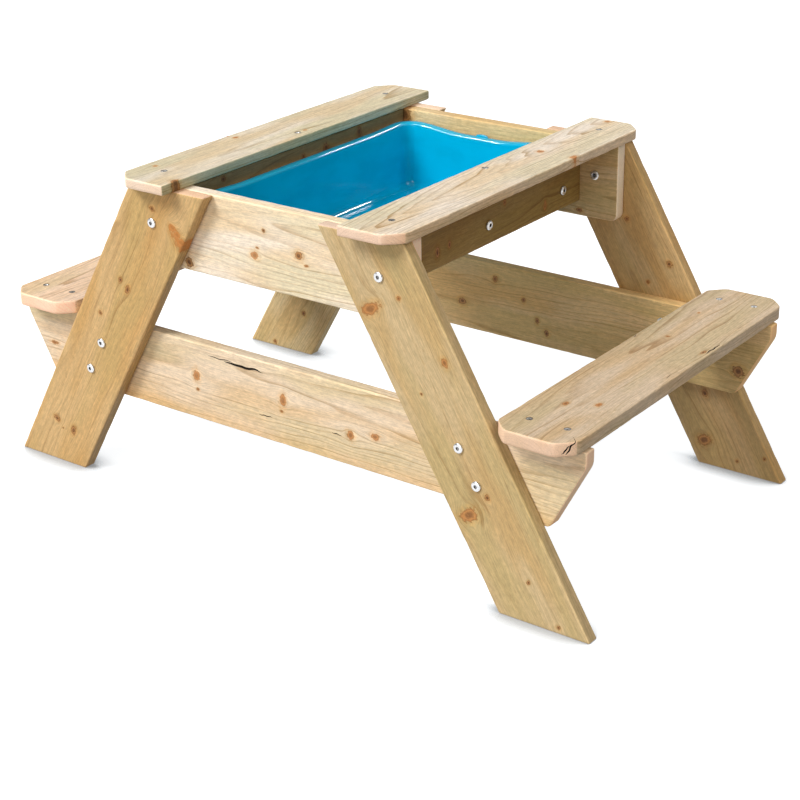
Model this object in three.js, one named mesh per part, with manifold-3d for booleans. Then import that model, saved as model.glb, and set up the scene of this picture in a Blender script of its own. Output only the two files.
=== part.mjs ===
// Child's sand and water table: a picnic-style bench table in planed softwood with a lift-out plastic tub.
// Millimetres, +Z up. The origin is on the ground under the middle of the table.
// X runs across the table from seat to seat, Y runs along the planks. The near end is at -Y.

import * as THREE from "three";
import { mergeVertices } from "three/addons/utils/BufferGeometryUtils.js";
import Module from "manifold-3d";

// ---- driving dimensions ----

const FIT_GAP = 0.3; // clear space left between pieces that touch on the real table

const BOARD_WIDTH = 120; // legs, aprons, beams and seats share one size of planed board
const BOARD_THICK = 20;
const EASED_EDGE = 2.4; // radius of the rounded arrises on every board

const SLAT_WIDTH = 94; // the two top planks
const SLAT_THICK = 15;

const TABLE_HEIGHT = 500;
const SEAT_HEIGHT = 276.5;
const FRAME_HALF = 287; // outer face of the legs from the middle, along Y

const LEG_INSIDE_TOP = 98; // leg's inner edge from the middle, at the underside of the top planks
const LEG_INSIDE_FOOT = 384; // and on the ground

const APRON_HALF = 238;
const APRON_CORNER = 12; // radius of the apron's lower corners

const BEAM_HALF = 499.5;
const BEAM_NOSE = 22; // height of the beam's square end above its long sloping cut
const BEAM_SLOPE_RUN = 52;
const BEAM_CORNER = 7;

const RAIL_OUTER_FACE = 174;
const RAIL_HEIGHT = 96;
const BATTEN_THICK = 15;
const BATTEN_HEIGHT = 68;

const PLANK_INNER_EDGE = 151;
const PLANK_LENGTH = 624;
const PLANK_CORNER_CUT = 25;

const SEAT_INNER_EDGE = 376;
const SEAT_LENGTH = 606;
const SEAT_CORNER_CUT = 23;

const TUB_RIM_HEIGHT = 467; // top of the tub's rim on the long sides
const TUB_RIM_RISE = 2.5; // the rim's corners stand higher than its long sides
const TUB_RIM_DIP = 4.5; // the middle of each short side hangs lower, as a finger hold
const TUB_HALF_X = 149;
const TUB_HALF_Y = 242;
const TUB_CORNER = 32;
const TUB_RIM_WIDTH = 14;
const TUB_LIP = 9; // depth of the turned-down lip round the rim
const TUB_WALL = 2.6;
const TUB_DRAFT = 8; // how far the walls lean in from rim to floor
const TUB_FLOOR = 367; // height of the inside of the tub's floor
const TUB_FLOOR_ROUND = 13;
const TUB_TAB_WIDTH = 22;
const TUB_TAB_HEIGHT = 4;

const BOLT_HEAD_RADIUS = 7.2;
const BOLT_HEAD_HEIGHT = 3.4;
const BOLT_RADIUS = 3;
const BOLT_LENGTH = 34;
const BOLT_TIP = 1; // length of the shank's tapered tip
const BOLT_TIP_RADIUS = 2.2;
const BOLT_SOCKET = 2.5; // radius over the corners of the six-sided socket
const BOLT_SOCKET_DEPTH = 2;
const NUT_FLANGE_RADIUS = 7.2;
const NUT_FLANGE = 2;
const NUT_BARREL_RADIUS = 4.2;
const NUT_BARREL_LENGTH = 17;
const APRON_BOLT_HEIGHT = 432.5;
const BEAM_BOLT_HEIGHTS = [224, 177];
const RAIL_BOLT_HEIGHT = 418;
const RAIL_BOLT_SPACING = 196;
const RAIL_BOLT_LENGTH = 33;

const SCREW_HEAD_RADIUS = 4.6;
const SCREW_HEAD_HEIGHT = 3;
const SCREW_RADIUS = 2.2;
const SCREW_LENGTH = 44;
const SCREW_POINT = 6;
const SCREW_HEAD_EDGE = 0.4; // height of the head's straight edge
const SCREW_SUNK = 0.4; // depth of the screw heads under the wood's surface
const SEAT_SCREW_X = [409, 465];
const PLANK_SCREW_X = 198;

const ROUND_SIDES = 10; // sides of a shank or a drilled hole
const HEAD_SIDES = 12;
const CUT_SPARE = 5; // how far a drill runs on past the board it cuts

// ---- places worked out from them ----

const FRAME_TOP = TABLE_HEIGHT - SLAT_THICK; // underside of the top planks
const SEAT_UNDERSIDE = SEAT_HEIGHT - BOARD_THICK;
const LEG_SLOPE = (LEG_INSIDE_FOOT - LEG_INSIDE_TOP) / FRAME_TOP;
const LEG_LEVEL_WIDTH = BOARD_WIDTH * Math.hypot(1, LEG_SLOPE); // width of a leg along a level line
const LEG_INNER_FACE = FRAME_HALF - BOARD_THICK;
const CROSS_OUTER_FACE = LEG_INNER_FACE - FIT_GAP; // aprons and beams lie against the legs
const CROSS_INNER_FACE = CROSS_OUTER_FACE - BOARD_THICK;
const CROSS_MIDDLE = (CROSS_OUTER_FACE + CROSS_INNER_FACE) / 2;
const RAIL_HALF = CROSS_INNER_FACE - FIT_GAP;
const BATTEN_OUTER_FACE = RAIL_OUTER_FACE - BOARD_THICK - FIT_GAP;
const BATTEN_TOP = TUB_RIM_HEIGHT - TUB_LIP - FIT_GAP;

const legInside = (z) => LEG_INSIDE_TOP + (FRAME_TOP - z) * LEG_SLOPE;
const legMiddle = (z) => legInside(z) + LEG_LEVEL_WIDTH / 2;

// ---- materials ----

const finish = (color, roughness, metalness = 0) =>
  new THREE.MeshStandardMaterial({ color, roughness, metalness });
const PALE_WOOD = finish(0xe6cfa6, 0.7);
const WARM_WOOD = finish(0xdcb984, 0.7);
const GREY_WOOD = finish(0xd3bd9a, 0.75);
const BLUE_PLASTIC = finish(0x0093c8, 0.22);
const ZINC = finish(0xc9ccd0, 0.35, 1);

const table = new THREE.Group();
table.name = "sand_and_water_table";

function place(name, geometry, material) {
  const mesh = new THREE.Mesh(geometry, material);
  mesh.name = name;
  table.add(mesh);
  return mesh;
}

// ---- joining and cutting ----

const wasm = await Module();
wasm.setup();

function toSolid(geometry) {
  const bare = geometry.clone();
  bare.deleteAttribute("normal");
  bare.deleteAttribute("uv");
  const merged = mergeVertices(bare, 1e-4);
  return new wasm.Manifold(
    new wasm.Mesh({
      numProp: 3,
      vertProperties: new Float32Array(merged.attributes.position.array),
      triVerts: new Uint32Array(merged.index.array),
    }),
  );
}

function toGeometry(solid) {
  const mesh = solid.getMesh();
  const geometry = new THREE.BufferGeometry();
  geometry.setAttribute("position", new THREE.BufferAttribute(mesh.vertProperties, 3));
  geometry.setIndex(new THREE.BufferAttribute(mesh.triVerts, 1));
  const flat = geometry.toNonIndexed();
  flat.computeVertexNormals();
  return flat;
}

function cut(geometry, tools) {
  let solid = toSolid(geometry);
  for (const tool of tools) solid = solid.subtract(toSolid(tool));
  return toGeometry(solid);
}

// ---- round pieces ----

// A turned solid about +Z. The profile is a list of [radius, height] that starts and ends on the axis.
function turned(profile, sides) {
  const points = profile.map(([radius, height]) => new THREE.Vector2(radius, height));
  const geometry = new THREE.LatheGeometry(points, sides);
  geometry.rotateX(Math.PI / 2);
  return geometry;
}

// A copy of a piece made about +Z, with its +Z end turned to point along the direction, then moved.
function aim(geometry, direction, [x, y, z]) {
  const turn = new THREE.Quaternion().setFromUnitVectors(new THREE.Vector3(0, 0, 1), direction);
  return geometry.clone().applyQuaternion(turn).translate(x, y, z);
}

// A drill through whatever lies between two places along the direction.
function drill(radius, from, to, direction, centre) {
  const profile = [
    [0, from - CUT_SPARE],
    [radius, from - CUT_SPARE],
    [radius, to + CUT_SPARE],
    [0, to + CUT_SPARE],
  ];
  return aim(turned(profile, ROUND_SIDES), direction, centre);
}

// Bolt with a low domed head and a six-sided socket. The head's underside is at height 0.
function boltGeometry(length) {
  const body = turned(
    [
      [0, -length],
      [BOLT_TIP_RADIUS, -length],
      [BOLT_RADIUS, BOLT_TIP - length],
      [BOLT_RADIUS, 0],
      [BOLT_HEAD_RADIUS, 0],
      [BOLT_HEAD_RADIUS, BOLT_HEAD_HEIGHT * 0.5],
      [BOLT_HEAD_RADIUS * 0.8, BOLT_HEAD_HEIGHT * 0.9],
      [BOLT_HEAD_RADIUS * 0.5, BOLT_HEAD_HEIGHT],
      [0, BOLT_HEAD_HEIGHT],
    ],
    HEAD_SIDES,
  );
  const socket = new THREE.CylinderGeometry(BOLT_SOCKET, BOLT_SOCKET, 2 * BOLT_SOCKET_DEPTH, 6);
  socket.rotateX(Math.PI / 2).translate(0, 0, BOLT_HEAD_HEIGHT);
  return cut(body, [socket]);
}

// Flanged barrel nut. The flange's underside is at height 0 and the barrel reaches down from it.
function nutGeometry() {
  const bore = BOLT_RADIUS + FIT_GAP;
  const points = [
    [bore, NUT_FLANGE],
    [bore, -NUT_BARREL_LENGTH],
    [NUT_BARREL_RADIUS, -NUT_BARREL_LENGTH],
    [NUT_BARREL_RADIUS, 0],
    [NUT_FLANGE_RADIUS, 0],
    [NUT_FLANGE_RADIUS, NUT_FLANGE * 0.5],
    [NUT_FLANGE_RADIUS - 1, NUT_FLANGE],
    [bore, NUT_FLANGE],
  ];
  return turned(points, HEAD_SIDES);
}

// Countersunk screw. The top of the head is at height 0.
function screwGeometry() {
  return turned(
    [
      [0, -SCREW_LENGTH],
      [SCREW_RADIUS, SCREW_POINT - SCREW_LENGTH],
      [SCREW_RADIUS, -SCREW_HEAD_HEIGHT],
      [SCREW_HEAD_RADIUS, -SCREW_HEAD_EDGE],
      [SCREW_HEAD_RADIUS, 0],
      [0, 0],
    ],
    ROUND_SIDES,
  );
}

// Hole for a countersunk screw that goes down from a board's top.
function screwHole(top, [x, y]) {
  const wide = SCREW_HEAD_RADIUS + FIT_GAP;
  const narrow = SCREW_RADIUS + FIT_GAP;
  const profile = [
    [0, -SCREW_LENGTH - CUT_SPARE],
    [narrow, -SCREW_LENGTH - CUT_SPARE],
    [narrow, -SCREW_SUNK - SCREW_HEAD_HEIGHT - FIT_GAP],
    [wide, -SCREW_SUNK - SCREW_HEAD_EDGE - FIT_GAP],
    [wide, CUT_SPARE],
    [0, CUT_SPARE],
  ];
  return turned(profile, ROUND_SIDES).translate(x, y, top);
}

// ---- boards ----

// A board from its outline, with eased arrises all round. The outline's plane is turned into place:
// "end" boards stand across the table, "side" boards stand along it, and "flat" boards lie level.
// low and high are the board's two faces along the axis that the outline faces.
function board(outline, low, high, plane) {
  const geometry = new THREE.ExtrudeGeometry(outline, {
    depth: high - low - 2 * EASED_EDGE,
    bevelEnabled: true,
    bevelSize: EASED_EDGE,
    bevelThickness: EASED_EDGE,
    bevelOffset: -EASED_EDGE,
    bevelSegments: 2,
    curveSegments: 3,
  });
  geometry.translate(0, 0, EASED_EDGE);
  if (plane === "end") geometry.rotateX(Math.PI / 2).translate(0, high, 0);
  if (plane === "side") geometry.rotateX(Math.PI / 2).rotateZ(Math.PI / 2).translate(low, 0, 0);
  if (plane === "flat") geometry.translate(0, 0, low);
  return geometry;
}

function polygon(points) {
  return new THREE.Shape(points.map(([u, v]) => new THREE.Vector2(u, v)));
}

function rectangle(left, bottom, right, top) {
  return polygon([
    [left, bottom],
    [right, bottom],
    [right, top],
    [left, top],
  ]);
}

// An outline with rounded corners: each point is [u, v, radius].
function roundedPolygon(corners) {
  const shape = new THREE.Shape();
  corners.forEach(([u, v, radius], i) => {
    const corner = new THREE.Vector2(u, v);
    const before = corners[(i + corners.length - 1) % corners.length];
    const after = corners[(i + 1) % corners.length];
    const towards = (other, reach) =>
      corner.clone().add(new THREE.Vector2(other[0] - u, other[1] - v).setLength(reach));
    const start = radius > 0 ? towards(before, radius) : corner;
    if (i === 0) shape.moveTo(start.x, start.y);
    else shape.lineTo(start.x, start.y);
    if (radius > 0) {
      const end = towards(after, radius);
      shape.quadraticCurveTo(u, v, end.x, end.y);
    }
  });
  shape.closePath();
  return shape;
}

const ALONG_Y = new THREE.Vector3(0, 1, 0);
const ENDS = [
  { end: "near", way: -1 },
  { end: "far", way: 1 },
];
const SIDES = [
  { side: "left", way: -1 },
  { side: "right", way: 1 },
];

// Low and high face of something that lies between two distances from the middle, on one side of it.
const between = (way, inner, outer) => (way > 0 ? [inner, outer] : [-outer, -inner]);

const boltHeights = [APRON_BOLT_HEIGHT, ...BEAM_BOLT_HEIGHTS];
const BOLT_LABELS = ["apron", "beam_upper", "beam_lower"];

function makeLeg(side, end) {
  const foot = legInside(0);
  const head = legInside(FRAME_TOP - FIT_GAP);
  const outline = [
    [foot, 0],
    [foot + LEG_LEVEL_WIDTH, 0],
    [head + LEG_LEVEL_WIDTH, FRAME_TOP - FIT_GAP],
    [head, FRAME_TOP - FIT_GAP],
  ].map(([u, v]) => [u * side.way, v]);
  if (side.way < 0) outline.reverse();
  const [low, high] = between(end.way, LEG_INNER_FACE, FRAME_HALF);
  const holes = boltHeights.map((z) =>
    drill(BOLT_RADIUS + FIT_GAP, low, high, ALONG_Y, [side.way * legMiddle(z), 0, z]),
  );
  place(`leg_${end.end}_${side.side}`, cut(board(polygon(outline), low, high, "end"), holes), WARM_WOOD);
}

function makeApron(end) {
  const bottom = FRAME_TOP - BOARD_WIDTH;
  const top = FRAME_TOP - FIT_GAP;
  const outline = roundedPolygon([
    [-APRON_HALF, bottom, APRON_CORNER],
    [APRON_HALF, bottom, APRON_CORNER],
    [APRON_HALF, top, 0],
    [-APRON_HALF, top, 0],
  ]);
  const [low, high] = between(end.way, CROSS_INNER_FACE, CROSS_OUTER_FACE);
  const tools = [];
  for (const { way } of SIDES) {
    const x = way * legMiddle(APRON_BOLT_HEIGHT);
    tools.push(drill(NUT_BARREL_RADIUS + FIT_GAP, low, high, ALONG_Y, [x, 0, APRON_BOLT_HEIGHT]));
    tools.push(screwHole(TABLE_HEIGHT, [way * PLANK_SCREW_X, end.way * CROSS_MIDDLE]));
  }
  place(`apron_${end.end}`, cut(board(outline, low, high, "end"), tools), PALE_WOOD);
}

function makeBeam(end) {
  const top = SEAT_UNDERSIDE - FIT_GAP;
  const bottom = SEAT_UNDERSIDE - BOARD_WIDTH;
  const half = [
    [BEAM_HALF - BEAM_SLOPE_RUN, bottom, BEAM_CORNER],
    [BEAM_HALF, top - BEAM_NOSE, BEAM_CORNER],
    [BEAM_HALF, top, 0],
  ];
  const mirrored = half.map(([u, v, radius]) => [-u, v, radius]).reverse();
  const [low, high] = between(end.way, CROSS_INNER_FACE, CROSS_OUTER_FACE);
  const tools = [];
  for (const { way } of SIDES) {
    for (const z of BEAM_BOLT_HEIGHTS) {
      tools.push(drill(NUT_BARREL_RADIUS + FIT_GAP, low, high, ALONG_Y, [way * legMiddle(z), 0, z]));
    }
    for (const x of SEAT_SCREW_X) {
      tools.push(screwHole(SEAT_HEIGHT, [way * x, end.way * CROSS_MIDDLE]));
    }
  }
  const outline = roundedPolygon([...half, ...mirrored]);
  place(`beam_${end.end}`, cut(board(outline, low, high, "end"), tools), PALE_WOOD);
}

const railBoltPlaces = [-RAIL_BOLT_SPACING, 0, RAIL_BOLT_SPACING];

function makeRailAndBatten(side) {
  const across = new THREE.Vector3(1, 0, 0);
  const drillRow = (radius, low, high) =>
    railBoltPlaces.map((y) => drill(radius, low, high, across, [0, y, RAIL_BOLT_HEIGHT]));

  const railTop = FRAME_TOP - FIT_GAP;
  const railOutline = rectangle(-RAIL_HALF, FRAME_TOP - RAIL_HEIGHT, RAIL_HALF, railTop);
  const [railLow, railHigh] = between(side.way, RAIL_OUTER_FACE - BOARD_THICK, RAIL_OUTER_FACE);
  const railHoles = drillRow(BOLT_RADIUS + FIT_GAP, railLow, railHigh);
  const rail = cut(board(railOutline, railLow, railHigh, "side"), railHoles);
  place(`rail_${side.side}`, rail, GREY_WOOD);

  const battenOutline = rectangle(-RAIL_HALF, BATTEN_TOP - BATTEN_HEIGHT, RAIL_HALF, BATTEN_TOP);
  const [low, high] = between(side.way, BATTEN_OUTER_FACE - BATTEN_THICK, BATTEN_OUTER_FACE);
  const battenHoles = drillRow(BOLT_RADIUS + FIT_GAP, low, high);
  const batten = cut(board(battenOutline, low, high, "side"), battenHoles);
  place(`batten_${side.side}`, batten, GREY_WOOD);
}

// Both outer corners of a top plank are cut off; its inner corners, beside the tub, stay square.
function makeTopPlank(side) {
  const inner = PLANK_INNER_EDGE;
  const outer = PLANK_INNER_EDGE + SLAT_WIDTH;
  const half = PLANK_LENGTH / 2;
  const outline = [
    [inner, -half],
    [outer - PLANK_CORNER_CUT, -half],
    [outer, PLANK_CORNER_CUT - half],
    [outer, half - PLANK_CORNER_CUT],
    [outer - PLANK_CORNER_CUT, half],
    [inner, half],
  ].map(([u, v]) => [u * side.way, v]);
  if (side.way < 0) outline.reverse();
  const holes = ENDS.map(({ way }) =>
    screwHole(TABLE_HEIGHT, [side.way * PLANK_SCREW_X, way * CROSS_MIDDLE]),
  );
  const geometry = cut(board(polygon(outline), FRAME_TOP, TABLE_HEIGHT, "flat"), holes);
  place(`top_plank_${side.side}`, geometry, GREY_WOOD);
}

function makeSeat(side) {
  const inner = SEAT_INNER_EDGE;
  const outer = SEAT_INNER_EDGE + BOARD_WIDTH;
  const half = SEAT_LENGTH / 2;
  const corner = SEAT_CORNER_CUT;
  const outline = [
    [inner + corner, -half],
    [outer - corner, -half],
    [outer, corner - half],
    [outer, half - corner],
    [outer - corner, half],
    [inner + corner, half],
    [inner, half - corner],
    [inner, corner - half],
  ].map(([u, v]) => [u * side.way, v]);
  if (side.way < 0) outline.reverse();
  const holes = [];
  for (const { way } of ENDS) {
    for (const x of SEAT_SCREW_X) {
      holes.push(screwHole(SEAT_HEIGHT, [side.way * x, way * CROSS_MIDDLE]));
    }
  }
  const geometry = cut(board(polygon(outline), SEAT_UNDERSIDE, SEAT_HEIGHT, "flat"), holes);
  place(`seat_${side.side}`, geometry, GREY_WOOD);
}

// ---- tub ----

const CORNER_STEPS = 5;
const SHORT_SIDE_STEPS = 8;
const FLOOR_ROUND_STEPS = 3;
const TUB_LEAST_CORNER = 12; // the walls' corner radius never gets smaller than this
const TAB_SUNK = 0.8; // how deep the tabs' straight edge lies in the rim

// Where the rim leaves its height over the long sides, as shares of the tub's half sizes.
const RIM_RISE_SPAN = [0.62, 0.9];
const RIM_DIP_SPAN = [0.25, 0.8];

// The rolled rim from outside to inside: distance in from the tub's edge, and drop from the rim's top.
const RIM_PROFILE = [
  [0, 2.5],
  [0.8, 0.8],
  [2.6, 0],
  [TUB_RIM_WIDTH - 5, 0.4],
  [TUB_RIM_WIDTH - 1.8, 1.6],
];
const RIM_INNER_DROP = 5; // drop at which the rim runs into the wall

// One level ring of the tub: a rectangle with round corners, as [x, y] points in turn.
// The short sides carry extra points, so that the rim can dip there.
function tubRing(halfX, halfY, radius) {
  const ring = [];
  const corners = [
    [1, 1, 0],
    [-1, 1, Math.PI / 2],
    [-1, -1, Math.PI],
    [1, -1, (3 * Math.PI) / 2],
  ];
  for (const [signX, signY, start] of corners) {
    const centreX = signX * (halfX - radius);
    const centreY = signY * (halfY - radius);
    for (let step = 0; step <= CORNER_STEPS; step++) {
      const angle = start + (step / CORNER_STEPS) * (Math.PI / 2);
      ring.push([centreX + radius * Math.cos(angle), centreY + radius * Math.sin(angle)]);
    }
    if (signX !== signY) continue;
    for (let step = 1; step < SHORT_SIDE_STEPS; step++) {
      ring.push([centreX * (1 - (2 * step) / SHORT_SIDE_STEPS), signY * halfY]);
    }
  }
  return ring;
}

// How far the rim stands above its long sides: up at the corners and down mid-way along the short sides.
function rimOffset(x, y) {
  const { smoothstep } = THREE.MathUtils;
  const nearShortSide = smoothstep(Math.abs(y) / TUB_HALF_Y, ...RIM_RISE_SPAN);
  const towardsMiddle = 1 - smoothstep(Math.abs(x) / TUB_HALF_X, ...RIM_DIP_SPAN);
  return nearShortSide * (TUB_RIM_RISE - (TUB_RIM_RISE + TUB_RIM_DIP) * towardsMiddle);
}

// A closed skin through level rings of equal length, capped at both ends.
function loft(rings) {
  const count = rings[0].length;
  const vertices = rings.flat(2);
  const faces = [];
  for (let r = 0; r + 1 < rings.length; r++) {
    for (let i = 0; i < count; i++) {
      const next = (i + 1) % count;
      const [a, b] = [r * count + i, r * count + next];
      const [c, d] = [a + count, b + count];
      faces.push(a, b, d, a, d, c);
    }
  }
  for (const [ring, reversed] of [
    [0, true],
    [rings.length - 1, false],
  ]) {
    const middle = vertices.length / 3;
    vertices.push(0, 0, rings[ring][0][2]);
    for (let i = 0; i < count; i++) {
      const a = ring * count + i;
      const b = ring * count + ((i + 1) % count);
      if (reversed) faces.push(middle, b, a);
      else faces.push(middle, a, b);
    }
  }
  const geometry = new THREE.BufferGeometry();
  geometry.setAttribute("position", new THREE.Float32BufferAttribute(vertices, 3));
  geometry.setIndex(faces);
  return geometry;
}

function levelRing(inset, height) {
  const radius = Math.max(TUB_CORNER - inset, TUB_LEAST_CORNER);
  return tubRing(TUB_HALF_X - inset, TUB_HALF_Y - inset, radius).map(([x, y]) => [x, y, height]);
}

// A ring that rises and dips with the rim.
function rimRing(inset, height) {
  return levelRing(inset, height).map(([x, y, z]) => [x, y, z + rimOffset(x, y)]);
}

function wallInset(z) {
  const depth = (TUB_RIM_HEIGHT - z) / (TUB_RIM_HEIGHT - TUB_FLOOR);
  return TUB_RIM_WIDTH + depth * TUB_DRAFT;
}

// Rings of the quarter-round from the wall into the floor, from the wall end to the floor end.
function floorRound(radius, thickness) {
  const rings = [];
  for (let step = 0; step <= FLOOR_ROUND_STEPS; step++) {
    const angle = (step / FLOOR_ROUND_STEPS) * (Math.PI / 2);
    const inset = wallInset(TUB_FLOOR) - thickness + radius * (1 - Math.cos(angle));
    rings.push(levelRing(inset, TUB_FLOOR - thickness + radius * (1 - Math.sin(angle))));
  }
  return rings;
}

// A small moulded tab that stands on a short side's rim.
function tubTab(way) {
  const radius = TUB_TAB_WIDTH / 2;
  const tab = new THREE.CylinderGeometry(radius, radius, TUB_WALL, 20);
  tab.scale(1, 1, TUB_TAB_HEIGHT / radius);
  const y = way * (TUB_HALF_Y - TUB_WALL / 2 - FIT_GAP);
  return tab.translate(0, y, TUB_RIM_HEIGHT - TUB_RIM_DIP - TAB_SUNK);
}

function makeTub() {
  const under = TUB_RIM_HEIGHT - TUB_WALL;
  const lipBottom = TUB_RIM_HEIGHT - TUB_LIP;
  const outer = [
    ...floorRound(TUB_FLOOR_ROUND + TUB_WALL, TUB_WALL).reverse(),
    rimRing(wallInset(under) - TUB_WALL, under - 3),
    rimRing(TUB_RIM_WIDTH - TUB_WALL - 1.5, under),
    rimRing(TUB_WALL + 1, under),
    rimRing(TUB_WALL, under - 1),
    levelRing(TUB_WALL, lipBottom),
    levelRing(0, lipBottom),
  ];
  const rim = RIM_PROFILE.map(([inset, drop]) => rimRing(inset, TUB_RIM_HEIGHT - drop));
  const wallTop = TUB_RIM_HEIGHT - RIM_INNER_DROP;
  const inner = [rimRing(wallInset(wallTop), wallTop), ...floorRound(TUB_FLOOR_ROUND, 0)];
  let tub = toSolid(loft([...outer, ...rim, ...inner]));
  for (const { way } of ENDS) tub = tub.add(toSolid(tubTab(way)));
  place("tub", toGeometry(tub), BLUE_PLASTIC);
}

// ---- fasteners ----

function makeLegBolts() {
  const bolt = boltGeometry(BOLT_LENGTH);
  const nut = nutGeometry();
  for (const end of ENDS) {
    const outward = new THREE.Vector3(0, end.way, 0);
    const inward = new THREE.Vector3(0, -end.way, 0);
    for (const side of SIDES) {
      boltHeights.forEach((z, i) => {
        const x = side.way * legMiddle(z);
        const label = `${BOLT_LABELS[i]}_${end.end}_${side.side}`;
        const headFace = end.way * (FRAME_HALF + FIT_GAP);
        const nutFace = end.way * (CROSS_INNER_FACE - FIT_GAP);
        place(`bolt_${label}`, aim(bolt, outward, [x, headFace, z]), ZINC);
        place(`nut_${label}`, aim(nut, inward, [x, nutFace, z]), ZINC);
      });
    }
  }
}

function makeRailBolts() {
  const bolt = boltGeometry(RAIL_BOLT_LENGTH);
  for (const side of SIDES) {
    const outward = new THREE.Vector3(side.way, 0, 0);
    railBoltPlaces.forEach((y, i) => {
      const head = [side.way * (RAIL_OUTER_FACE + FIT_GAP), y, RAIL_BOLT_HEIGHT];
      place(`rail_bolt_${side.side}_${i + 1}`, aim(bolt, outward, head), ZINC);
    });
  }
}

function makeScrews() {
  const screw = screwGeometry();
  for (const end of ENDS) {
    const y = end.way * CROSS_MIDDLE;
    const at = (x, top) => screw.clone().translate(x, y, top - SCREW_SUNK);
    for (const side of SIDES) {
      const label = `${end.end}_${side.side}`;
      place(`plank_screw_${label}`, at(side.way * PLANK_SCREW_X, TABLE_HEIGHT), ZINC);
      SEAT_SCREW_X.forEach((x, i) => {
        const name = `seat_screw_${label}_${i === 0 ? "inner" : "outer"}`;
        place(name, at(side.way * x, SEAT_HEIGHT), ZINC);
      });
    }
  }
}

// ---- assembly ----

for (const end of ENDS) {
  for (const side of SIDES) makeLeg(side, end);
  makeApron(end);
  makeBeam(end);
}
for (const side of SIDES) {
  makeRailAndBatten(side);
  makeTopPlank(side);
  makeSeat(side);
}
makeTub();
makeLegBolts();
makeRailBolts();
makeScrews();

export default table;
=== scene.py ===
import math

import bpy
from mathutils import Matrix, Vector, noise


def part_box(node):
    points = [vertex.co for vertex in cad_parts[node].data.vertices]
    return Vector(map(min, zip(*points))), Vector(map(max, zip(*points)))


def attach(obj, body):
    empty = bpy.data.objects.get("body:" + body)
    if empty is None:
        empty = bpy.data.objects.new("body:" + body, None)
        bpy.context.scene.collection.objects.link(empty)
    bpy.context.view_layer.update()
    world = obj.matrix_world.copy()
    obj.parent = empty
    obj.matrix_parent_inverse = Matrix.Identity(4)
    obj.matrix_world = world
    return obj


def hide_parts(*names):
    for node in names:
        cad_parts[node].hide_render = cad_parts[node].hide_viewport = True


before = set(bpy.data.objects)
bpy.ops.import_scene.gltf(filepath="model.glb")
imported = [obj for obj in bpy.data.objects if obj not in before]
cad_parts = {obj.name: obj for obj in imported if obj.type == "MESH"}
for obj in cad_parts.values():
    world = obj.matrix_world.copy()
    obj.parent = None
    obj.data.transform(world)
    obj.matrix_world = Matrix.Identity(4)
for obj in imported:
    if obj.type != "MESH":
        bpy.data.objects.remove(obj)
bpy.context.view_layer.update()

# Looks for a child's sand and water table: softwood boards, a glossy blue tub and zinc plated fasteners.
# Meshes are worked out in millimetres and stored in metres. A board is made in its own coordinates:
# X along the grain, Y across its face, Z through its thickness.

MM = 0.001

TABLE_BODY = "table"
TUB_BODY = "tub"
ENDS = {"near": -1, "far": 1}
SIDES = {"left": -1, "right": 1}
ACROSS, ALONG, UP = Vector((1, 0, 0)), Vector((0, 1, 0)), Vector((0, 0, 1))


def box_mm(node):
    """A CAD node's lowest and highest corners in millimetres."""
    low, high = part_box(node)
    return low / MM, high / MM


def size_mm(node):
    low, high = box_mm(node)
    return high - low


def centre_mm(node):
    low, high = box_mm(node)
    return (low + high) / 2


# ---------------------------------------------------------------- camera, stage and lights

CAMERA_PLACE = (1.51837, -2.00158, 1.21641)
CAMERA_AZIMUTH = math.radians(36.952)
CAMERA_ELEVATION = math.radians(23.845)
CAMERA_ROLL = math.radians(-1.082)
CAMERA_LENS = 81.01
SENSOR = 36.0

FLOOR_SIDE = 60.0 / MM
FLOOR_COLOUR = (0.35, 0.35, 0.35, 1)
FLOOR_GLOW = 0.95
FLOOR_ROUGHNESS = 0.9
CONTACT_GLOW = 0.22  # the floor right under a foot's edge
CONTACT_REACH = 0.055
CONTACT_OPEN = (0.45, 0.98)  # how open the floor is to the sky where the shade is full, and where it ends
CONTACT_TINT = (0.84, 0.92, 1.0, 1)
FLOOR_TINT = (0.96, 0.98, 1.0, 1)
SKY_COLOUR = (1.0, 0.94, 0.83, 1)
SKY_STRENGTH = 0.21
WALL_COLOUR = (1.0, 1.0, 1.0, 1)
WALL_STRENGTH = 1.0

# The lamps: azimuth and elevation in degrees, strength, how wide each looks in degrees, and its colour.
LAMPS = {
    "key": (-28, 48, 2.65, 26, (1.0, 1.0, 1.0)),
    "low_front": (2, 13, 1.08, 34, (1.0, 0.95, 0.86)),
    "high_right": (96, 46, 0.85, 40, (1.0, 0.93, 0.82)),
}

# Narrow softboxes that the camera sees mirrored in the tub's rolled rim. Each has the rim point in
# millimetres, the rim's direction and inner side there, the lamp's distance, width, length and power.
GLINTS = {
    "rim_left": ((-138, 120, 465), (0, 1, 0), (1, 0, 0), 1.3, 0.20, 0.05, 7.0),
    "rim_far": ((0, 232, 460), (1, 0, 0), (0, -1, 0), 1.3, 0.07, 0.03, 6.0),
}


def direction(azimuth, elevation):
    """Unit vector towards something seen at that azimuth, from -Y turning to +X, and elevation."""
    level = math.cos(elevation)
    return Vector((math.sin(azimuth) * level, -math.cos(azimuth) * level, math.sin(elevation)))


def add_object(name, data):
    made = bpy.data.objects.new(name, data)
    bpy.context.scene.collection.objects.link(made)
    return made


def new_mesh(name, vertices, faces, material=None):
    """A mesh whose corners are given in millimetres."""
    mesh = bpy.data.meshes.new(name)
    mesh.from_pydata([tuple(c * MM for c in vertex) for vertex in vertices], [], faces)
    if material:
        mesh.materials.append(material)
    return mesh


def new_material(name):
    """A material, its node graph and its shader's sockets."""
    material = bpy.data.materials.new(name)
    material.use_nodes = True
    graph = Graph(material.node_tree)
    return material, graph, material.node_tree.nodes["Principled BSDF"].inputs


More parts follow.
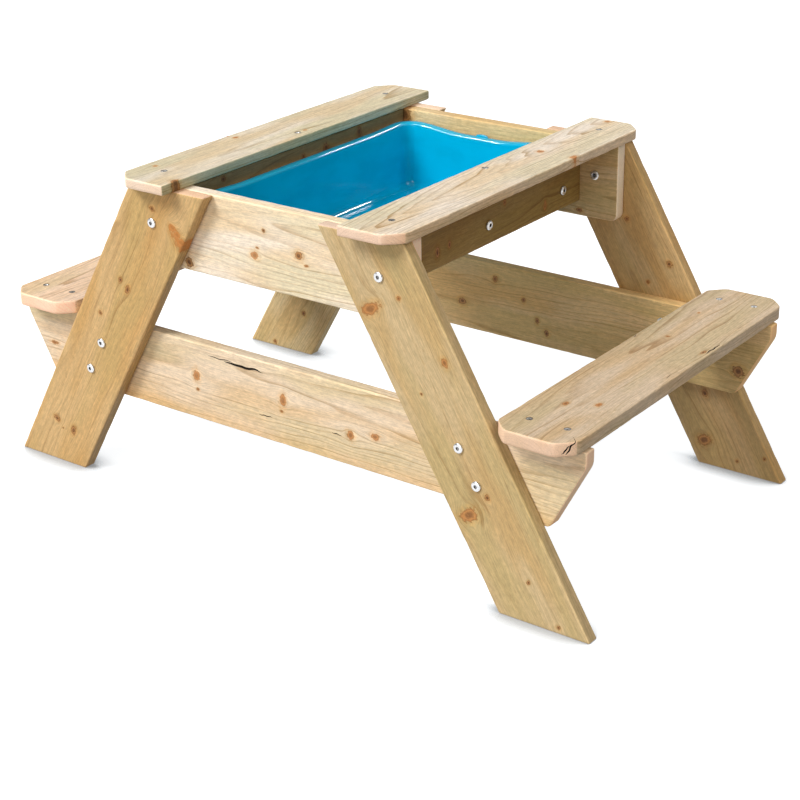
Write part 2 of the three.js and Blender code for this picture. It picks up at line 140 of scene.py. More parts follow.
def turned_to(x_axis, y_axis, z_axis):
    return Matrix((x_axis, y_axis, z_axis)).transposed().to_4x4()


def make_camera():
    back = direction(CAMERA_AZIMUTH, CAMERA_ELEVATION)
    right = UP.cross(back).normalized()
    level = turned_to(right, back.cross(right), back)
    camera = add_object("camera", bpy.data.cameras.new("camera"))
    camera.matrix_world = Matrix.Translation(CAMERA_PLACE) @ level @ Matrix.Rotation(CAMERA_ROLL, 4, "Z")
    camera.data.lens = CAMERA_LENS
    camera.data.sensor_width = SENSOR
    bpy.context.scene.camera = camera


def make_floor():
    """A white floor whose glow dims right beside the feet, as the photo's contact shadows do."""
    material, graph, sockets = new_material("floor")
    sockets["Base Color"].default_value = FLOOR_COLOUR
    sockets["Roughness"].default_value = FLOOR_ROUGHNESS
    sockets["Specular IOR Level"].default_value = 0.0
    contact = graph.node("AmbientOcclusion", samples=8)
    contact.inputs["Distance"].default_value = CONTACT_REACH
    open_share = graph.step(graph.out(contact, "AO"), *CONTACT_OPEN)
    graph.feed(sockets["Emission Color"], graph.mix(open_share, CONTACT_TINT, FLOOR_TINT))
    graph.feed(sockets["Emission Strength"], graph.step(open_share, 0.0, 1.0, CONTACT_GLOW, FLOOR_GLOW))
    half = FLOOR_SIDE / 2
    corners = [(-half, -half, 0), (half, -half, 0), (half, half, 0), (-half, half, 0)]
    floor = add_object("floor", new_mesh("floor", corners, [(0, 1, 2, 3)], material))
    floor.visible_diffuse = False  # the white floor would wash out the shade under the table


def make_lamps():
    for name, (azimuth, elevation, strength, width, colour) in LAMPS.items():
        lamp = add_object(name, bpy.data.lights.new(name, "SUN"))
        towards = direction(math.radians(azimuth), math.radians(elevation))
        lamp.rotation_mode = "QUATERNION"
        lamp.rotation_quaternion = towards.to_track_quat("Z", "Y")
        lamp.data.energy = strength
        lamp.data.angle = math.radians(width)
        lamp.data.color = colour


def make_glint(name, point, edge, inner, distance, width, length, power):
    """A strip softbox placed where the camera sees it mirrored half-way round a rolled rim."""
    point, edge = Vector(point) * MM, Vector(edge)
    view = (Vector(CAMERA_PLACE) - point).normalized()
    normal = (Vector(inner) + UP).normalized()
    towards = 2 * normal.dot(view) * normal - view
    long_axis = towards.cross(edge).normalized()
    turn = turned_to(long_axis.cross(towards), long_axis, towards)
    lamp = add_object(name, bpy.data.lights.new(name, "AREA"))
    lamp.matrix_world = Matrix.Translation(point + towards * distance) @ turn
    lamp.data.shape = "RECTANGLE"
    lamp.data.size, lamp.data.size_y = width, length
    lamp.data.energy = power
    lamp.visible_diffuse = False


def make_world():
    """A faint warm sky that lights the object, seen itself as the white of the studio's far wall."""
    world = bpy.data.worlds.new("studio")
    world.use_nodes = True
    graph = Graph(world.node_tree)
    seen = graph.out(graph.node("LightPath"), "Is Camera Ray")
    sky = world.node_tree.nodes["Background"]
    graph.feed(sky.inputs["Color"], graph.mix(seen, SKY_COLOUR, WALL_COLOUR))
    graph.feed(sky.inputs["Strength"], graph.step(seen, 0.0, 1.0, SKY_STRENGTH, WALL_STRENGTH))
    bpy.context.scene.world = world


def make_stage():
    make_world()
    bpy.context.scene.view_settings.view_transform = "Standard"
    make_floor()
    make_lamps()
    for name, place in GLINTS.items():
        make_glint(name, *place)


# ---------------------------------------------------------------- node graphs


class Value:
    """What a node gives out. Adding, multiplying and so on make the Math nodes that do it."""

    def __init__(self, graph, socket):
        self.graph, self.socket = graph, socket

    def __add__(self, other):
        return self.graph.math("ADD", self, other)

    def __sub__(self, other):
        return self.graph.math("SUBTRACT", self, other)

    def __mul__(self, other):
        return self.graph.math("MULTIPLY", self, other)

    def __truediv__(self, other):
        return self.graph.math("DIVIDE", self, other)


class Graph:
    """Short ways to add a material's nodes. What a node gives out comes back as a Value."""

    def __init__(self, tree):
        self.tree = tree

    def node(self, kind, **settings):
        made = self.tree.nodes.new("ShaderNode" + kind)
        for name, value in settings.items():
            setattr(made, name, value)
        return made

    def feed(self, socket, value):
        if isinstance(value, Value):
            self.tree.links.new(value.socket, socket)
        else:
            socket.default_value = value

    def out(self, node, name=0):
        return Value(self, node.outputs[name])

    def math(self, operation, a, b=0.0, clamp=False):
        made = self.node("Math", operation=operation, use_clamp=clamp)
        self.feed(made.inputs[0], a)
        self.feed(made.inputs[1], b)
        return self.out(made)

    def vector(self, operation, a, b=(0, 0, 0)):
        made = self.node("VectorMath", operation=operation)
        self.feed(made.inputs[0], a)
        self.feed(made.inputs[1], b)
        return self.out(made, "Value" if operation in ("LENGTH", "DOT_PRODUCT") else "Vector")

    def in_mm(self, place):
        made = self.node("VectorMath", operation="SCALE")
        self.feed(made.inputs[0], place)
        made.inputs["Scale"].default_value = 1 / MM
        return self.out(made)

    def place_mm(self):
        """The point's place in its own object, in millimetres."""
        return self.in_mm(self.out(self.node("TexCoord"), "Object"))

    def split(self, value):
        made = self.node("SeparateXYZ")
        self.feed(made.inputs[0], value)
        return [self.out(made, axis) for axis in range(3)]

    def join(self, x, y, z):
        made = self.node("CombineXYZ")
        for socket, value in zip(made.inputs, (x, y, z)):
            self.feed(socket, value)
        return self.out(made)

    def noise(self, position, stretch, detail=2.0, roughness=0.5, shift=None):
        """Noise, 0 to 1. stretch is how often it changes per unit, on every axis or on each."""
        by_axis = stretch if isinstance(stretch, tuple) else (stretch,) * 3
        place = self.vector("MULTIPLY", position, by_axis)
        if shift:
            place = self.vector("ADD", place, shift)
        made = self.node("TexNoise")
        self.feed(made.inputs["Vector"], place)
        for name, value in (("Scale", 1.0), ("Detail", detail), ("Roughness", roughness)):
            made.inputs[name].default_value = value
        return self.out(made, "Fac")

    def step(self, value, low, high, to_low=0.0, to_high=1.0):
        """Smooth step from to_low at low to to_high at high."""
        made = self.node("MapRange", interpolation_type="SMOOTHSTEP")
        self.feed(made.inputs["Value"], value)
        limits = (("From Min", low), ("From Max", high), ("To Min", to_low), ("To Max", to_high))
        for name, limit in limits:
            self.feed(made.inputs[name], limit)
        return self.out(made, "Result")

    def fall(self, value, low, high):
        """1 up to low, 0 from high on, and smooth between them."""
        return self.step(value, low, high, 1.0, 0.0)

    def mix(self, share, a, b, blend="MIX"):
        made = self.node("Mix", data_type="RGBA", blend_type=blend)
        self.feed(made.inputs["Factor"], share)
        self.feed(made.inputs[6], a)
        self.feed(made.inputs[7], b)
        return self.out(made, 2)

    def tint(self, share, colour, factors):
        """The colour, with its red, green and blue multiplied by factors in that share."""
        return self.mix(share, colour, self.mix(1.0, colour, factors + (1,), "MULTIPLY"))

    def shade(self, colour, factor):
        """The colour, made darker or lighter by one number."""
        return self.mix(1.0, colour, self.join(factor, factor, factor), "MULTIPLY")

    def surface(self, sockets, colour, rough, height, strength, relief):
        """Connects a shader. relief is the depth of the bumps, in millimetres."""
        bump = self.node("Bump")
        bump.inputs["Strength"].default_value = strength
        bump.inputs["Distance"].default_value = relief * MM
        self.feed(bump.inputs["Height"], height)
        self.feed(sockets["Base Color"], colour)
        self.feed(sockets["Roughness"], rough)
        self.feed(sockets["Normal"], self.out(bump))


def linear(red, green, blue):
    """A colour given as 0 to 255 values, as the shader wants it."""
    def one(value):
        share = value / 255
        return share / 12.92 if share <= 0.04045 else ((share + 0.055) / 1.055) ** 2.4
    return (one(red), one(green), one(blue), 1.0)


def times(colour, factors):
    return tuple(c * f for c, f in zip(colour, factors)) + (1.0,)


# ---------------------------------------------------------------- wood

FLOW_STRETCH = 1.7  # the grain parts round a knot over a longer stretch than the knot itself
FLOW_SHARE = 0.93
KNOT_ROUNDNESS = 0.35  # a knot's outline wobbles about this share of its size
NO_KNOT = 9.0
RING_SWING = 34.0  # how far the growth rings wander, in millimetres
RING_SHARPNESS = 4.5  # how late in its year a ring darkens
LATEWOOD = (0.62, 0.50, 0.35)
WARM_PATCH = (0.93, 0.84, 0.68)
TREATED_PATCH = (0.88, 0.88, 0.75)
FLECK = (0.60, 0.47, 0.33)
KNOT_ORANGE = linear(205, 126, 54)
KNOT_AMBER = linear(188, 138, 84)
KNOT_DARK = linear(74, 42, 22)
KNOT_HALO = (0.93, 0.76, 0.52)
END_GRAIN = (1.20, 1.06, 1.05)
LEG_END_GRAIN = (1.07, 1.08, 1.58)
# Arrises are paler than the faces: partly real wear, partly a painted highlight along the edge.
ARRIS_WEAR_AND_HIGHLIGHT = (1.16, 1.15, 1.13)
BAND_RAGGED = 14.0  # how far a coloured band's edge wanders with the streaks, in millimetres
WOOD_RELIEF = 0.35
BOARD_PLACE = "board_place"  # where each point lies in its board's own coordinates, in metres


def make_knot_group():
    """Bends the grain round one knot. Keeps the distance to the nearest knot and how dark that one is."""
    tree = bpy.data.node_groups.new("knot", "ShaderNodeTree")
    numbers = ("Wobble", "Near", "Tone", "Along", "Across", "Half along", "Half across", "Darkness")
    for way, names in (("INPUT", numbers), ("OUTPUT", ("Near", "Tone"))):
        tree.interface.new_socket(name="Position", in_out=way, socket_type="NodeSocketVector")
        for name in names:
            tree.interface.new_socket(name=name, in_out=way, socket_type="NodeSocketFloat")
    graph = Graph(tree)
    source = {socket.name: Value(graph, socket) for socket in tree.nodes.new("NodeGroupInput").outputs}
    result = tree.nodes.new("NodeGroupOutput").inputs
    x, y, z = graph.split(source["Position"])
    along = (x - source["Along"]) / source["Half along"]
    offset = y - source["Across"]
    across = offset / source["Half across"]
    across_squared = across * across
    distance = graph.math("SQRT", along * along + across_squared)
    uneven = distance * (source["Wobble"] + KNOT_ROUNDNESS)
    long_along = along / FLOW_STRETCH
    flow = long_along * long_along + across_squared
    push = graph.math("DIVIDE", FLOW_SHARE, graph.math("MAXIMUM", flow, 1.0))
    graph.feed(result["Position"], graph.join(x, y - offset * push, z))
    graph.feed(result["Near"], graph.math("MINIMUM", source["Near"], uneven))
    closer = graph.math("LESS_THAN", uneven, source["Near"])
    graph.feed(result["Tone"], source["Tone"] + (source["Darkness"] - source["Tone"]) * closer)
    return tree


def follow_knots(graph, group, position, wobble, knots):
    """Bends the grain round each knot. Gives the new position, and how near and dark a knot is."""
    near, tone = NO_KNOT, 0.5
    for knot in knots:
        made = graph.node("Group", node_tree=group)
        values = dict(zip(("Along", "Across", "Half along", "Half across", "Darkness"), knot))
        values.update({"Position": position, "Wobble": wobble, "Near": near, "Tone": tone})
        for name, value in values.items():
            graph.feed(made.inputs[name], value)
        position, near, tone = (graph.out(made, name) for name in ("Position", "Near", "Tone"))
    return position, near, tone


def growth_rings(graph, position, pith, lean, spacing, offset):
    """Darkness of the growth rings, 0 to 1: rings about a pith line that leans along the board."""
    warp = graph.noise(position, (0.004, 0.018, 0.018), shift=offset)
    x, y, z = graph.split(position)
    wandered = y + (warp - 0.5) * RING_SWING
    y_off = wandered - pith[0] - x * lean[0]
    z_off = z - pith[1] - x * lean[1]
    radius = graph.vector("LENGTH", graph.join(0.0, y_off, z_off))
    uneven = graph.noise(position, (0.0025, 0.07, 0.07), detail=1.0)
    phase = radius / spacing + uneven * 1.6
    share_of_year = graph.math("FRACT", phase)
    year = graph.node("TexWhiteNoise", noise_dimensions="1D")
    graph.feed(year.inputs["W"], graph.math("FLOOR", phase))
    strength = graph.step(graph.out(year, "Value"), 0.1, 0.9, 0.25, 1.0)
    rise = graph.math("POWER", graph.step(share_of_year, 0.15, 0.93), RING_SHARPNESS)
    return rise * graph.fall(share_of_year, 0.94, 1.0) * strength


def bare_wood(graph, grain, base, rings, contrast, offset):
    """Rings, streaks, fibres and pores on a tone that drifts along the board."""
    step, fall = graph.step, graph.fall

    def streaks(along, across, detail=2.0, roughness=0.5, shift=None):
        return graph.noise(grain, (along, across, across), detail, roughness, shift)

    warm = step(streaks(0.005, 0.024, 1.0, shift=offset), 0.40, 0.66)
    colour = graph.tint(warm, base, WARM_PATCH)
    treated = step(streaks(0.0035, 0.017), 0.46, 0.66)
    colour = graph.mix(treated, colour, times(base, TREATED_PATCH))
    fade = step(streaks(0.008, 0.05), 0.3, 0.7, 0.35, 1.0)
    colour = graph.tint(rings * contrast * fade, colour, LATEWOOD)
    streak = streaks(0.012, 0.50, 4.0, 0.65)
    fibre = streaks(0.06, 1.3, 3.0, 0.75)
    mottle = streaks(0.10, 0.20, 4.0, 0.7, offset)
    for source, low, high in ((streak, 0.87, 1.08), (fibre, 0.83, 1.12), (mottle, 0.89, 1.09)):
        colour = graph.shade(colour, step(source, 0.28, 0.72, low, high))
    pores = step(streaks(0.12, 1.0, 0.0, shift=offset), 0.72, 0.80)
    colour = graph.mix(pores * 0.45, colour, times(base, FLECK))
    off_line = graph.math("ABSOLUTE", streaks(0.003, 0.055, shift=offset) - 0.5)
    hairlines = fall(off_line, 0.0, 0.005) * step(fibre, 0.5, 0.6)
    colour = graph.mix(hairlines * 0.5, colour, times(base, FLECK))
    return colour, streak, fibre


def knotted(graph, place, colour, near, dark):
    """Knots over the bare wood: a warm halo, an orange body, and a patchy dark middle and rim.

    near is 0 in a knot's heart and 1 at its edge; dark is how dark the nearest knot is.
    """
    step, fall = graph.step, graph.fall
    patchy = graph.noise(place, 0.33, 3.0, 0.65)
    halo = fall(near, 0.7, 2.2) * step(patchy, 0.3, 0.6, 0.35, 0.9)
    colour = graph.tint(halo, colour, KNOT_HALO)
    body = fall(near, 0.80, 1.06) * (dark * 0.20 + 0.74)
    colour = graph.mix(body, colour, graph.mix(dark, KNOT_ORANGE, KNOT_AMBER))
    bands = graph.math("SINE", near * 17.0) * 0.5 + 0.5
    banded = bands * step(near, 0.8, 1.05, 0.6, 0.0)
    middle = fall(near, 0.30, 0.66) * step(patchy, 0.3, 0.5, 0.5, 1.0)
    rim = step(near, 0.74, 0.90) * fall(near, 0.96, 1.12) * step(patchy, 0.44, 0.58, 0.0, 0.8)
    darkest = graph.math("MAXIMUM", graph.math("MAXIMUM", middle, rim), banded)
    return graph.mix(darkest * (dark * 0.85 + 0.12), colour, KNOT_DARK), body


def end_grain(graph, place, base, colour, factors):
    """The board's ends: paler and pinker than its faces, and finely dotted."""
    dots = graph.noise(place, (0.4, 1.3, 1.3))
    ends = graph.tint(1.0, graph.mix(0.35, base, colour), factors)
    return graph.shade(ends, graph.step(dots, 0.3, 0.7, 0.88, 1.05))


def arris_wear_and_highlight(graph, steep, streak):
    """1 on an arris, where two directions face the surface at once, and 0 on the flats. Arrises are
    painted paler: partly real wear, partly a painted highlight.
    """
    x, y, z = steep
    arris = graph.math("MAXIMUM", graph.math("MAXIMUM", x * y, y * z), x * z)
    return graph.step(arris + streak * 0.15, 0.2, 0.5)


def make_wood(name, axes, tone, pith, lean, spacing, contrast, knots,
              painted_side_shade=None, bands=(), end_tint=END_GRAIN):
    """Wood for one board. axes are the board's own directions, along, across and through it."""
    material, graph, sockets = new_material(name)
    place = graph.in_mm(graph.out(graph.node("Attribute", attribute_name=BOARD_PLACE), "Vector"))
    normal = graph.out(graph.node("TexCoord"), "Normal")
    facing = [graph.vector("DOT_PRODUCT", normal, tuple(axis)) for axis in axes]
    steep = [graph.math("ABSOLUTE", part) for part in facing]
    seeds = [Vector((len(name) * 1.7, axis * 3.1, pith[0] * 0.13)) for axis in range(3)]
    offset = tuple(7.3 * noise.noise(seed) for seed in seeds)  # so that no two boards look alike

    wobble = graph.noise(place, (0.12, 0.17, 0.17), 3.0, 0.65, offset) * 1.3
    grain, near, dark = follow_knots(graph, KNOT_GROUP, place, wobble, knots)
    rings = growth_rings(graph, grain, pith, lean, spacing, offset)
    colour, streak, fibre = bare_wood(graph, grain, linear(*tone), rings, contrast, offset)
    colour, knot_body = knotted(graph, place, colour, near, dark)
    ends = graph.step(steep[0], 0.40, 0.62)
    colour = graph.mix(ends, colour, end_grain(graph, place, linear(*tone), colour, end_tint))
    # Paler arrises: worn wood and a painted highlight.
    colour = graph.tint(arris_wear_and_highlight(graph, steep, streak), colour, ARRIS_WEAR_AND_HIGHLIGHT)
    # Painted shade on the side of the board that faces that way, in the tint given.
    if painted_side_shade:
        side, tint = painted_side_shade
        colour = graph.tint(graph.step(facing[1] * float(side), 0.45, 0.9), colour, tint)
    for start, full, tint in bands:
        across = graph.split(grain)[1] + streak * BAND_RAGGED
        limits = sorted((start, full))
        share = graph.step(across, *limits, float(start > full), float(start < full))
        colour = graph.tint(share, colour, tint)

    rough = graph.step(streak + rings * 0.25, 0.3, 0.9, 0.78, 0.58)
    rough = graph.math("ADD", rough, ends * 0.12, clamp=True)
    height = rings * 0.35 + fibre * 0.6 + streak * 0.4 + knot_body * 0.3
    graph.surface(sockets, colour, rough, height, 0.5, WOOD_RELIEF)
    sockets["Specular IOR Level"].default_value = 0.3
    return material


def make_shaded_inside():
    """Wood seen down a hole or a crack: painted near black, in patches, as the shade down there."""
    material, graph, sockets = new_material("wood_inside_painted_shade")
    place = graph.place_mm()
    patchiness = graph.noise(place, 0.5, 3.0)
    graph.feed(sockets["Base Color"], graph.mix(patchiness, linear(14, 9, 5), linear(50, 33, 19)))
    graph.feed(sockets["Roughness"], graph.step(patchiness, 0.3, 0.7, 0.75, 0.95))
    return material


# ---------------------------------------------------------------- board meshes

ARRIS = 2.4
ARRIS_TURNS = [0, 22.5, 45, 67.5, 90]
END_TURNS = [15, 38, 62, 90]
FACE_STEP = 4.0
LENGTH_STEP = 4.5
CAP_ROWS = 4
SIDE_ROW = 0.55  # where the extra row lies on a board's side, as a share of its flat half
LEAST_GAP = 0.05
SURFACE_DEPTH = 0.22  # how far planing marks and wear reach into the nominal surface


def upper_section(half_width, half_thick, extra):
    """Half of a board's section, over the top from one side's middle to the other's: (y, z, normal)."""
    flat = half_width - ARRIS
    count = max(2, round(2 * flat / FACE_STEP))
    across = sorted({round(-flat + 2 * flat * i / count, 3) for i in range(count + 1)} | set(extra))
    across = [y for y in across if abs(y) <= flat]
    kept = [across[0]] + [b for a, b in zip(across, across[1:]) if b - a > LEAST_GAP]
    side_row = (half_thick - ARRIS) * SIDE_ROW
    rounded_edge = []
    for turn in ARRIS_TURNS:
        c, s = math.cos(math.radians(turn)), math.sin(math.radians(turn))
        rounded_edge.append((flat + ARRIS * c, half_thick - ARRIS + ARRIS * s, (c, s)))
    right = [(half_width, 0.0, (1.0, 0.0)), (half_width, side_row, (1.0, 0.0))] + rounded_edge
    left = [(-y, z, (-ny, nz)) for y, z, (ny, nz) in right]
    return left + [(y, half_thick, (0.0, 1.0)) for y in kept[1:-1]] + right[::-1]


def wear(x, y, z, normal, seed, knots):
    """How far the surface lies inside its nominal place: slow waves, knocked arrises, proud knots."""
    slow = noise.noise(Vector((x / 120 + seed, y / 45, z / 30)))
    depth = SURFACE_DEPTH * (0.5 + 0.4 * slow)
    if abs(normal[0] * normal[1]) > 0.2:
        knock = noise.noise(Vector((x / 16, seed + y / 50, z / 20)))
        depth += max(0.0, knock - 0.12) * 0.9
    for along, across, half_along, half_across, _ in knots:
        far = math.hypot((x - along) / half_along, (y - across) / half_across)
        if far < 1.3:
            depth *= 0.15 if far < 1 else 0.15 + (far - 1) / 0.3 * 0.85
    return max(depth, 0.0)


def board_stations(length):
    """Every ring from the low end to the high one: (share of the length, offset from it, inset)."""
    eased = []
    for turn in END_TURNS:
        angle = math.radians(turn)
        eased.append((ARRIS * (1 - math.cos(angle)), ARRIS * (1 - math.sin(angle))))
    count = max(4, round(length / LENGTH_STEP))
    low = [(0.0, offset, inset) for offset, inset in eased]
    middle = [(i / count, 0.0, 0.0) for i in range(1, count)]
    high = [(1.0, -offset, inset) for offset, inset in reversed(eased)]
    return low + middle + high


def end_cap(vertices, first, count, last, flip):
    """Faces that close a board's end, in rows between its top and bottom. Adds the rows' points."""
    columns, faces = [], []
    for i in range(last + 1):
        top, bottom = first + i, first + (-i % count)
        if top == bottom:
            columns.append([top] * (CAP_ROWS + 1))
            continue
        start, stop = Vector(vertices[top]), Vector(vertices[bottom])
        columns.append([top, *range(len(vertices), len(vertices) + CAP_ROWS - 1), bottom])
        vertices += [tuple(start.lerp(stop, row / CAP_ROWS)) for row in range(1, CAP_ROWS)]
    for left, right in zip(columns, columns[1:]):
        for row in range(CAP_ROWS):
            corners = list(dict.fromkeys((left[row], right[row], right[row + 1], left[row + 1])))
            if len(corners) > 2:
                faces.append(tuple(reversed(corners)) if flip else tuple(corners))
    return faces


def board_mesh(name, half, inset, slope, knots, extra, seed):
    """A closed board mesh. half is half its length, width and thickness.

    inset(y, half_width) is how far both ends are cut back at y, and slope is how both ends slant along y.
    """
    half_length, half_width, half_thick = half
    upper = upper_section(half_width, half_thick, extra)
    section = upper + [(y, -z, (ny, -nz)) for y, z, (ny, nz) in reversed(upper[1:-1])]
    count, last = len(section), len(upper) - 1
    stations = board_stations(2 * (half_length - inset(0, half_width)))

    def along(share, y):
        return slope * y + (2 * share - 1) * (half_length - inset(y, half_width))

    vertices, faces = [], []
    for share, offset, shrink in stations:
        for y, z, normal in section:
            y_in, z_in = y - normal[0] * shrink, z - normal[1] * shrink
            depth = wear(along(share, y_in) + offset, y_in, z_in, normal, seed, knots)
            y_worn, z_worn = y_in - normal[0] * depth, z_in - normal[1] * depth
            vertices.append((along(share, y_worn) + offset, y_worn, z_worn))
    for ring in range(len(stations) - 1):
        for i in range(count):
            a, b = ring * count + i, ring * count + (i + 1) % count
            faces.append((a, a + count, b + count, b))
    faces += end_cap(vertices, 0, count, last, False)
    faces += end_cap(vertices, (len(stations) - 1) * count, count, last, True)
    return new_mesh(name, vertices, faces)


def skin(rings, count, closed=False):
    """Faces over rings of count points each, either capped or joined back to the first ring."""
    faces = []
    for ring in range(rings if closed else rings - 1):
        for i in range(count):
            a, b = ring * count + i, ring * count + (i + 1) % count
            faces.append((a, b, (b + count) % (rings * count), (a + count) % (rings * count)))
    if not closed:
        faces.append(tuple(reversed(range(count))))
        faces.append(tuple((rings - 1) * count + i for i in range(count)))
    return faces


def revolve(rings, steps, closed=False):
    """Vertices and faces of a piece about +Z. A ring is (height, radius) or (height, radius, shape)."""
    vertices = []
    for height, radius, *shape in rings:
        for i in range(steps):
            angle = 2 * math.pi * i / steps
            reach = radius * (shape[0](angle) if shape else 1.0)
            vertices.append((reach * math.cos(angle), reach * math.sin(angle), height))
    return vertices, skin(len(rings), steps, closed)


def hex_shape(angle):
    """Radius of a hexagon whose corners are one unit from its middle."""
    sixth = math.pi / 3
    return math.cos(sixth / 2) / math.cos(angle % sixth - sixth / 2)


CROSS_ARM = 0.30  # half the width of a cross recess's arm, as a share of its reach


def cross_shape(angle):
    c, s = max(abs(math.cos(angle)), 1e-6), max(abs(math.sin(angle)), 1e-6)
    return max(min(1 / c, CROSS_ARM / s), min(1 / s, CROSS_ARM / c))


# ---------------------------------------------------------------- cutting

HOLE_STEPS = 32
CUT_SPARE = 2.0  # how far a cutter stands out of the wood


def hole_cutter(x, y, rings):
    vertices, faces = revolve(rings, HOLE_STEPS)
    return [(vx + x, vy + y, vz) for vx, vy, vz in vertices], faces


CRACK_POINTS = 14
CRACK_DEPTH = 6.0
CHECK_DEPTH = 15.0
CRACK_NARROWING = 0.3


def crack_cutter(centre, axes, length, width, above, depth):
    """A thin wavy wedge, widest in its middle. axes point along it, across it and out of the wood."""
    along, across, out = (Vector(axis) for axis in axes)
    outline = [(i / CRACK_POINTS, 1) for i in range(CRACK_POINTS + 1)]
    outline += [(i / CRACK_POINTS, -1) for i in range(CRACK_POINTS - 1, 0, -1)]
    vertices = []
    for level, narrowing in ((above, 1.0), (-depth, CRACK_NARROWING)):
        for t, side in outline:
            wave = noise.noise(Vector((centre[0] * 0.1 + t * 4, centre[1], 0.5))) * width * 0.9
            half = width / 2 * math.sin(math.pi * max(0.03, min(t, 0.97))) ** 0.7 * narrowing
            place = Vector(centre) + along * ((t - 0.5) * length)
            vertices.append(tuple(place + across * (wave + side * half) + out * level))
    return vertices, skin(2, len(outline))


def face_crack(along, across, length, width, half_thick):
    """A crack along the grain in a board's outer face."""
    axes = ((1, 0, 0), (0, 1, 0), (0, 0, 1))
    return crack_cutter((along, across, half_thick), axes, length, width, 1.0, CRACK_DEPTH)


def end_check(along, across, height, facing, slant, length, width):
    """A slit in an end face that looks towards facing, leaning slant from level. Angles in degrees."""
    facing, slant = math.radians(facing), math.radians(slant)
    out = Vector((math.cos(facing), math.sin(facing), 0))
    level = UP.cross(out)
    axes = (
        math.cos(slant) * level + math.sin(slant) * UP,
        math.cos(slant) * UP - math.sin(slant) * level,
        out,
    )
    return crack_cutter((along, across, height), axes, length, width, CUT_SPARE, CHECK_DEPTH)


def cut(board, cutters, name):
    """Takes the cutters, given in the board's own millimetres, out of the board."""
    vertices, faces = [], []
    for more_vertices, more_faces in cutters:
        base = len(vertices)
        vertices += more_vertices
        faces += [tuple(base + i for i in face) for face in more_faces]
    # The cut faces take the near-black material of painted shade.
    cutter = add_object(name + "_cutter", new_mesh(name + "_cutter", vertices, faces, SHADED_INSIDE))
    cutter.matrix_world = board.matrix_world
    apply_boolean(board, cutter, "DIFFERENCE")


def apply_boolean(target, tool, operation):
    change = target.modifiers.new("boolean", "BOOLEAN")
    change.operation = operation
    change.solver = "EXACT"
    change.material_mode = "TRANSFER"
    change.object = tool
    bpy.context.view_layer.update()
    graph = bpy.context.evaluated_depsgraph_get()
    result = bpy.data.meshes.new_from_object(target.evaluated_get(graph))
    target.modifiers.clear()
    target.data = result
    bpy.data.objects.remove(tool)


def smooth(mesh, degrees=38):
    mesh.shade_smooth()
    mesh.set_sharp_from_angle(angle=math.radians(degrees))


# ---------------------------------------------------------------- the boards

BOARD_WIDTH = 120.0
APRON_CORNER = 12.0
BEAM_NOSE = 22.0
BEAM_SLOPE_RUN = 52.0
BEAM_CORNER = 6.0
PLANK_CORNER_CUT = 25.0
SEAT_CORNER_CUT = 23.0
CORNER_BEND = 5.5
BOLT_HOLE = 3.3
NUT_HOLE = 4.5
SCREW_HEAD = 4.6
SCREW_SHANK = 2.2
COUNTERSINK = 3.1
SCREW_SUNK = 0.4
RAIL_SCREW_OUT = 4.0  # the middle plank screw sits this far outside the rail's centre
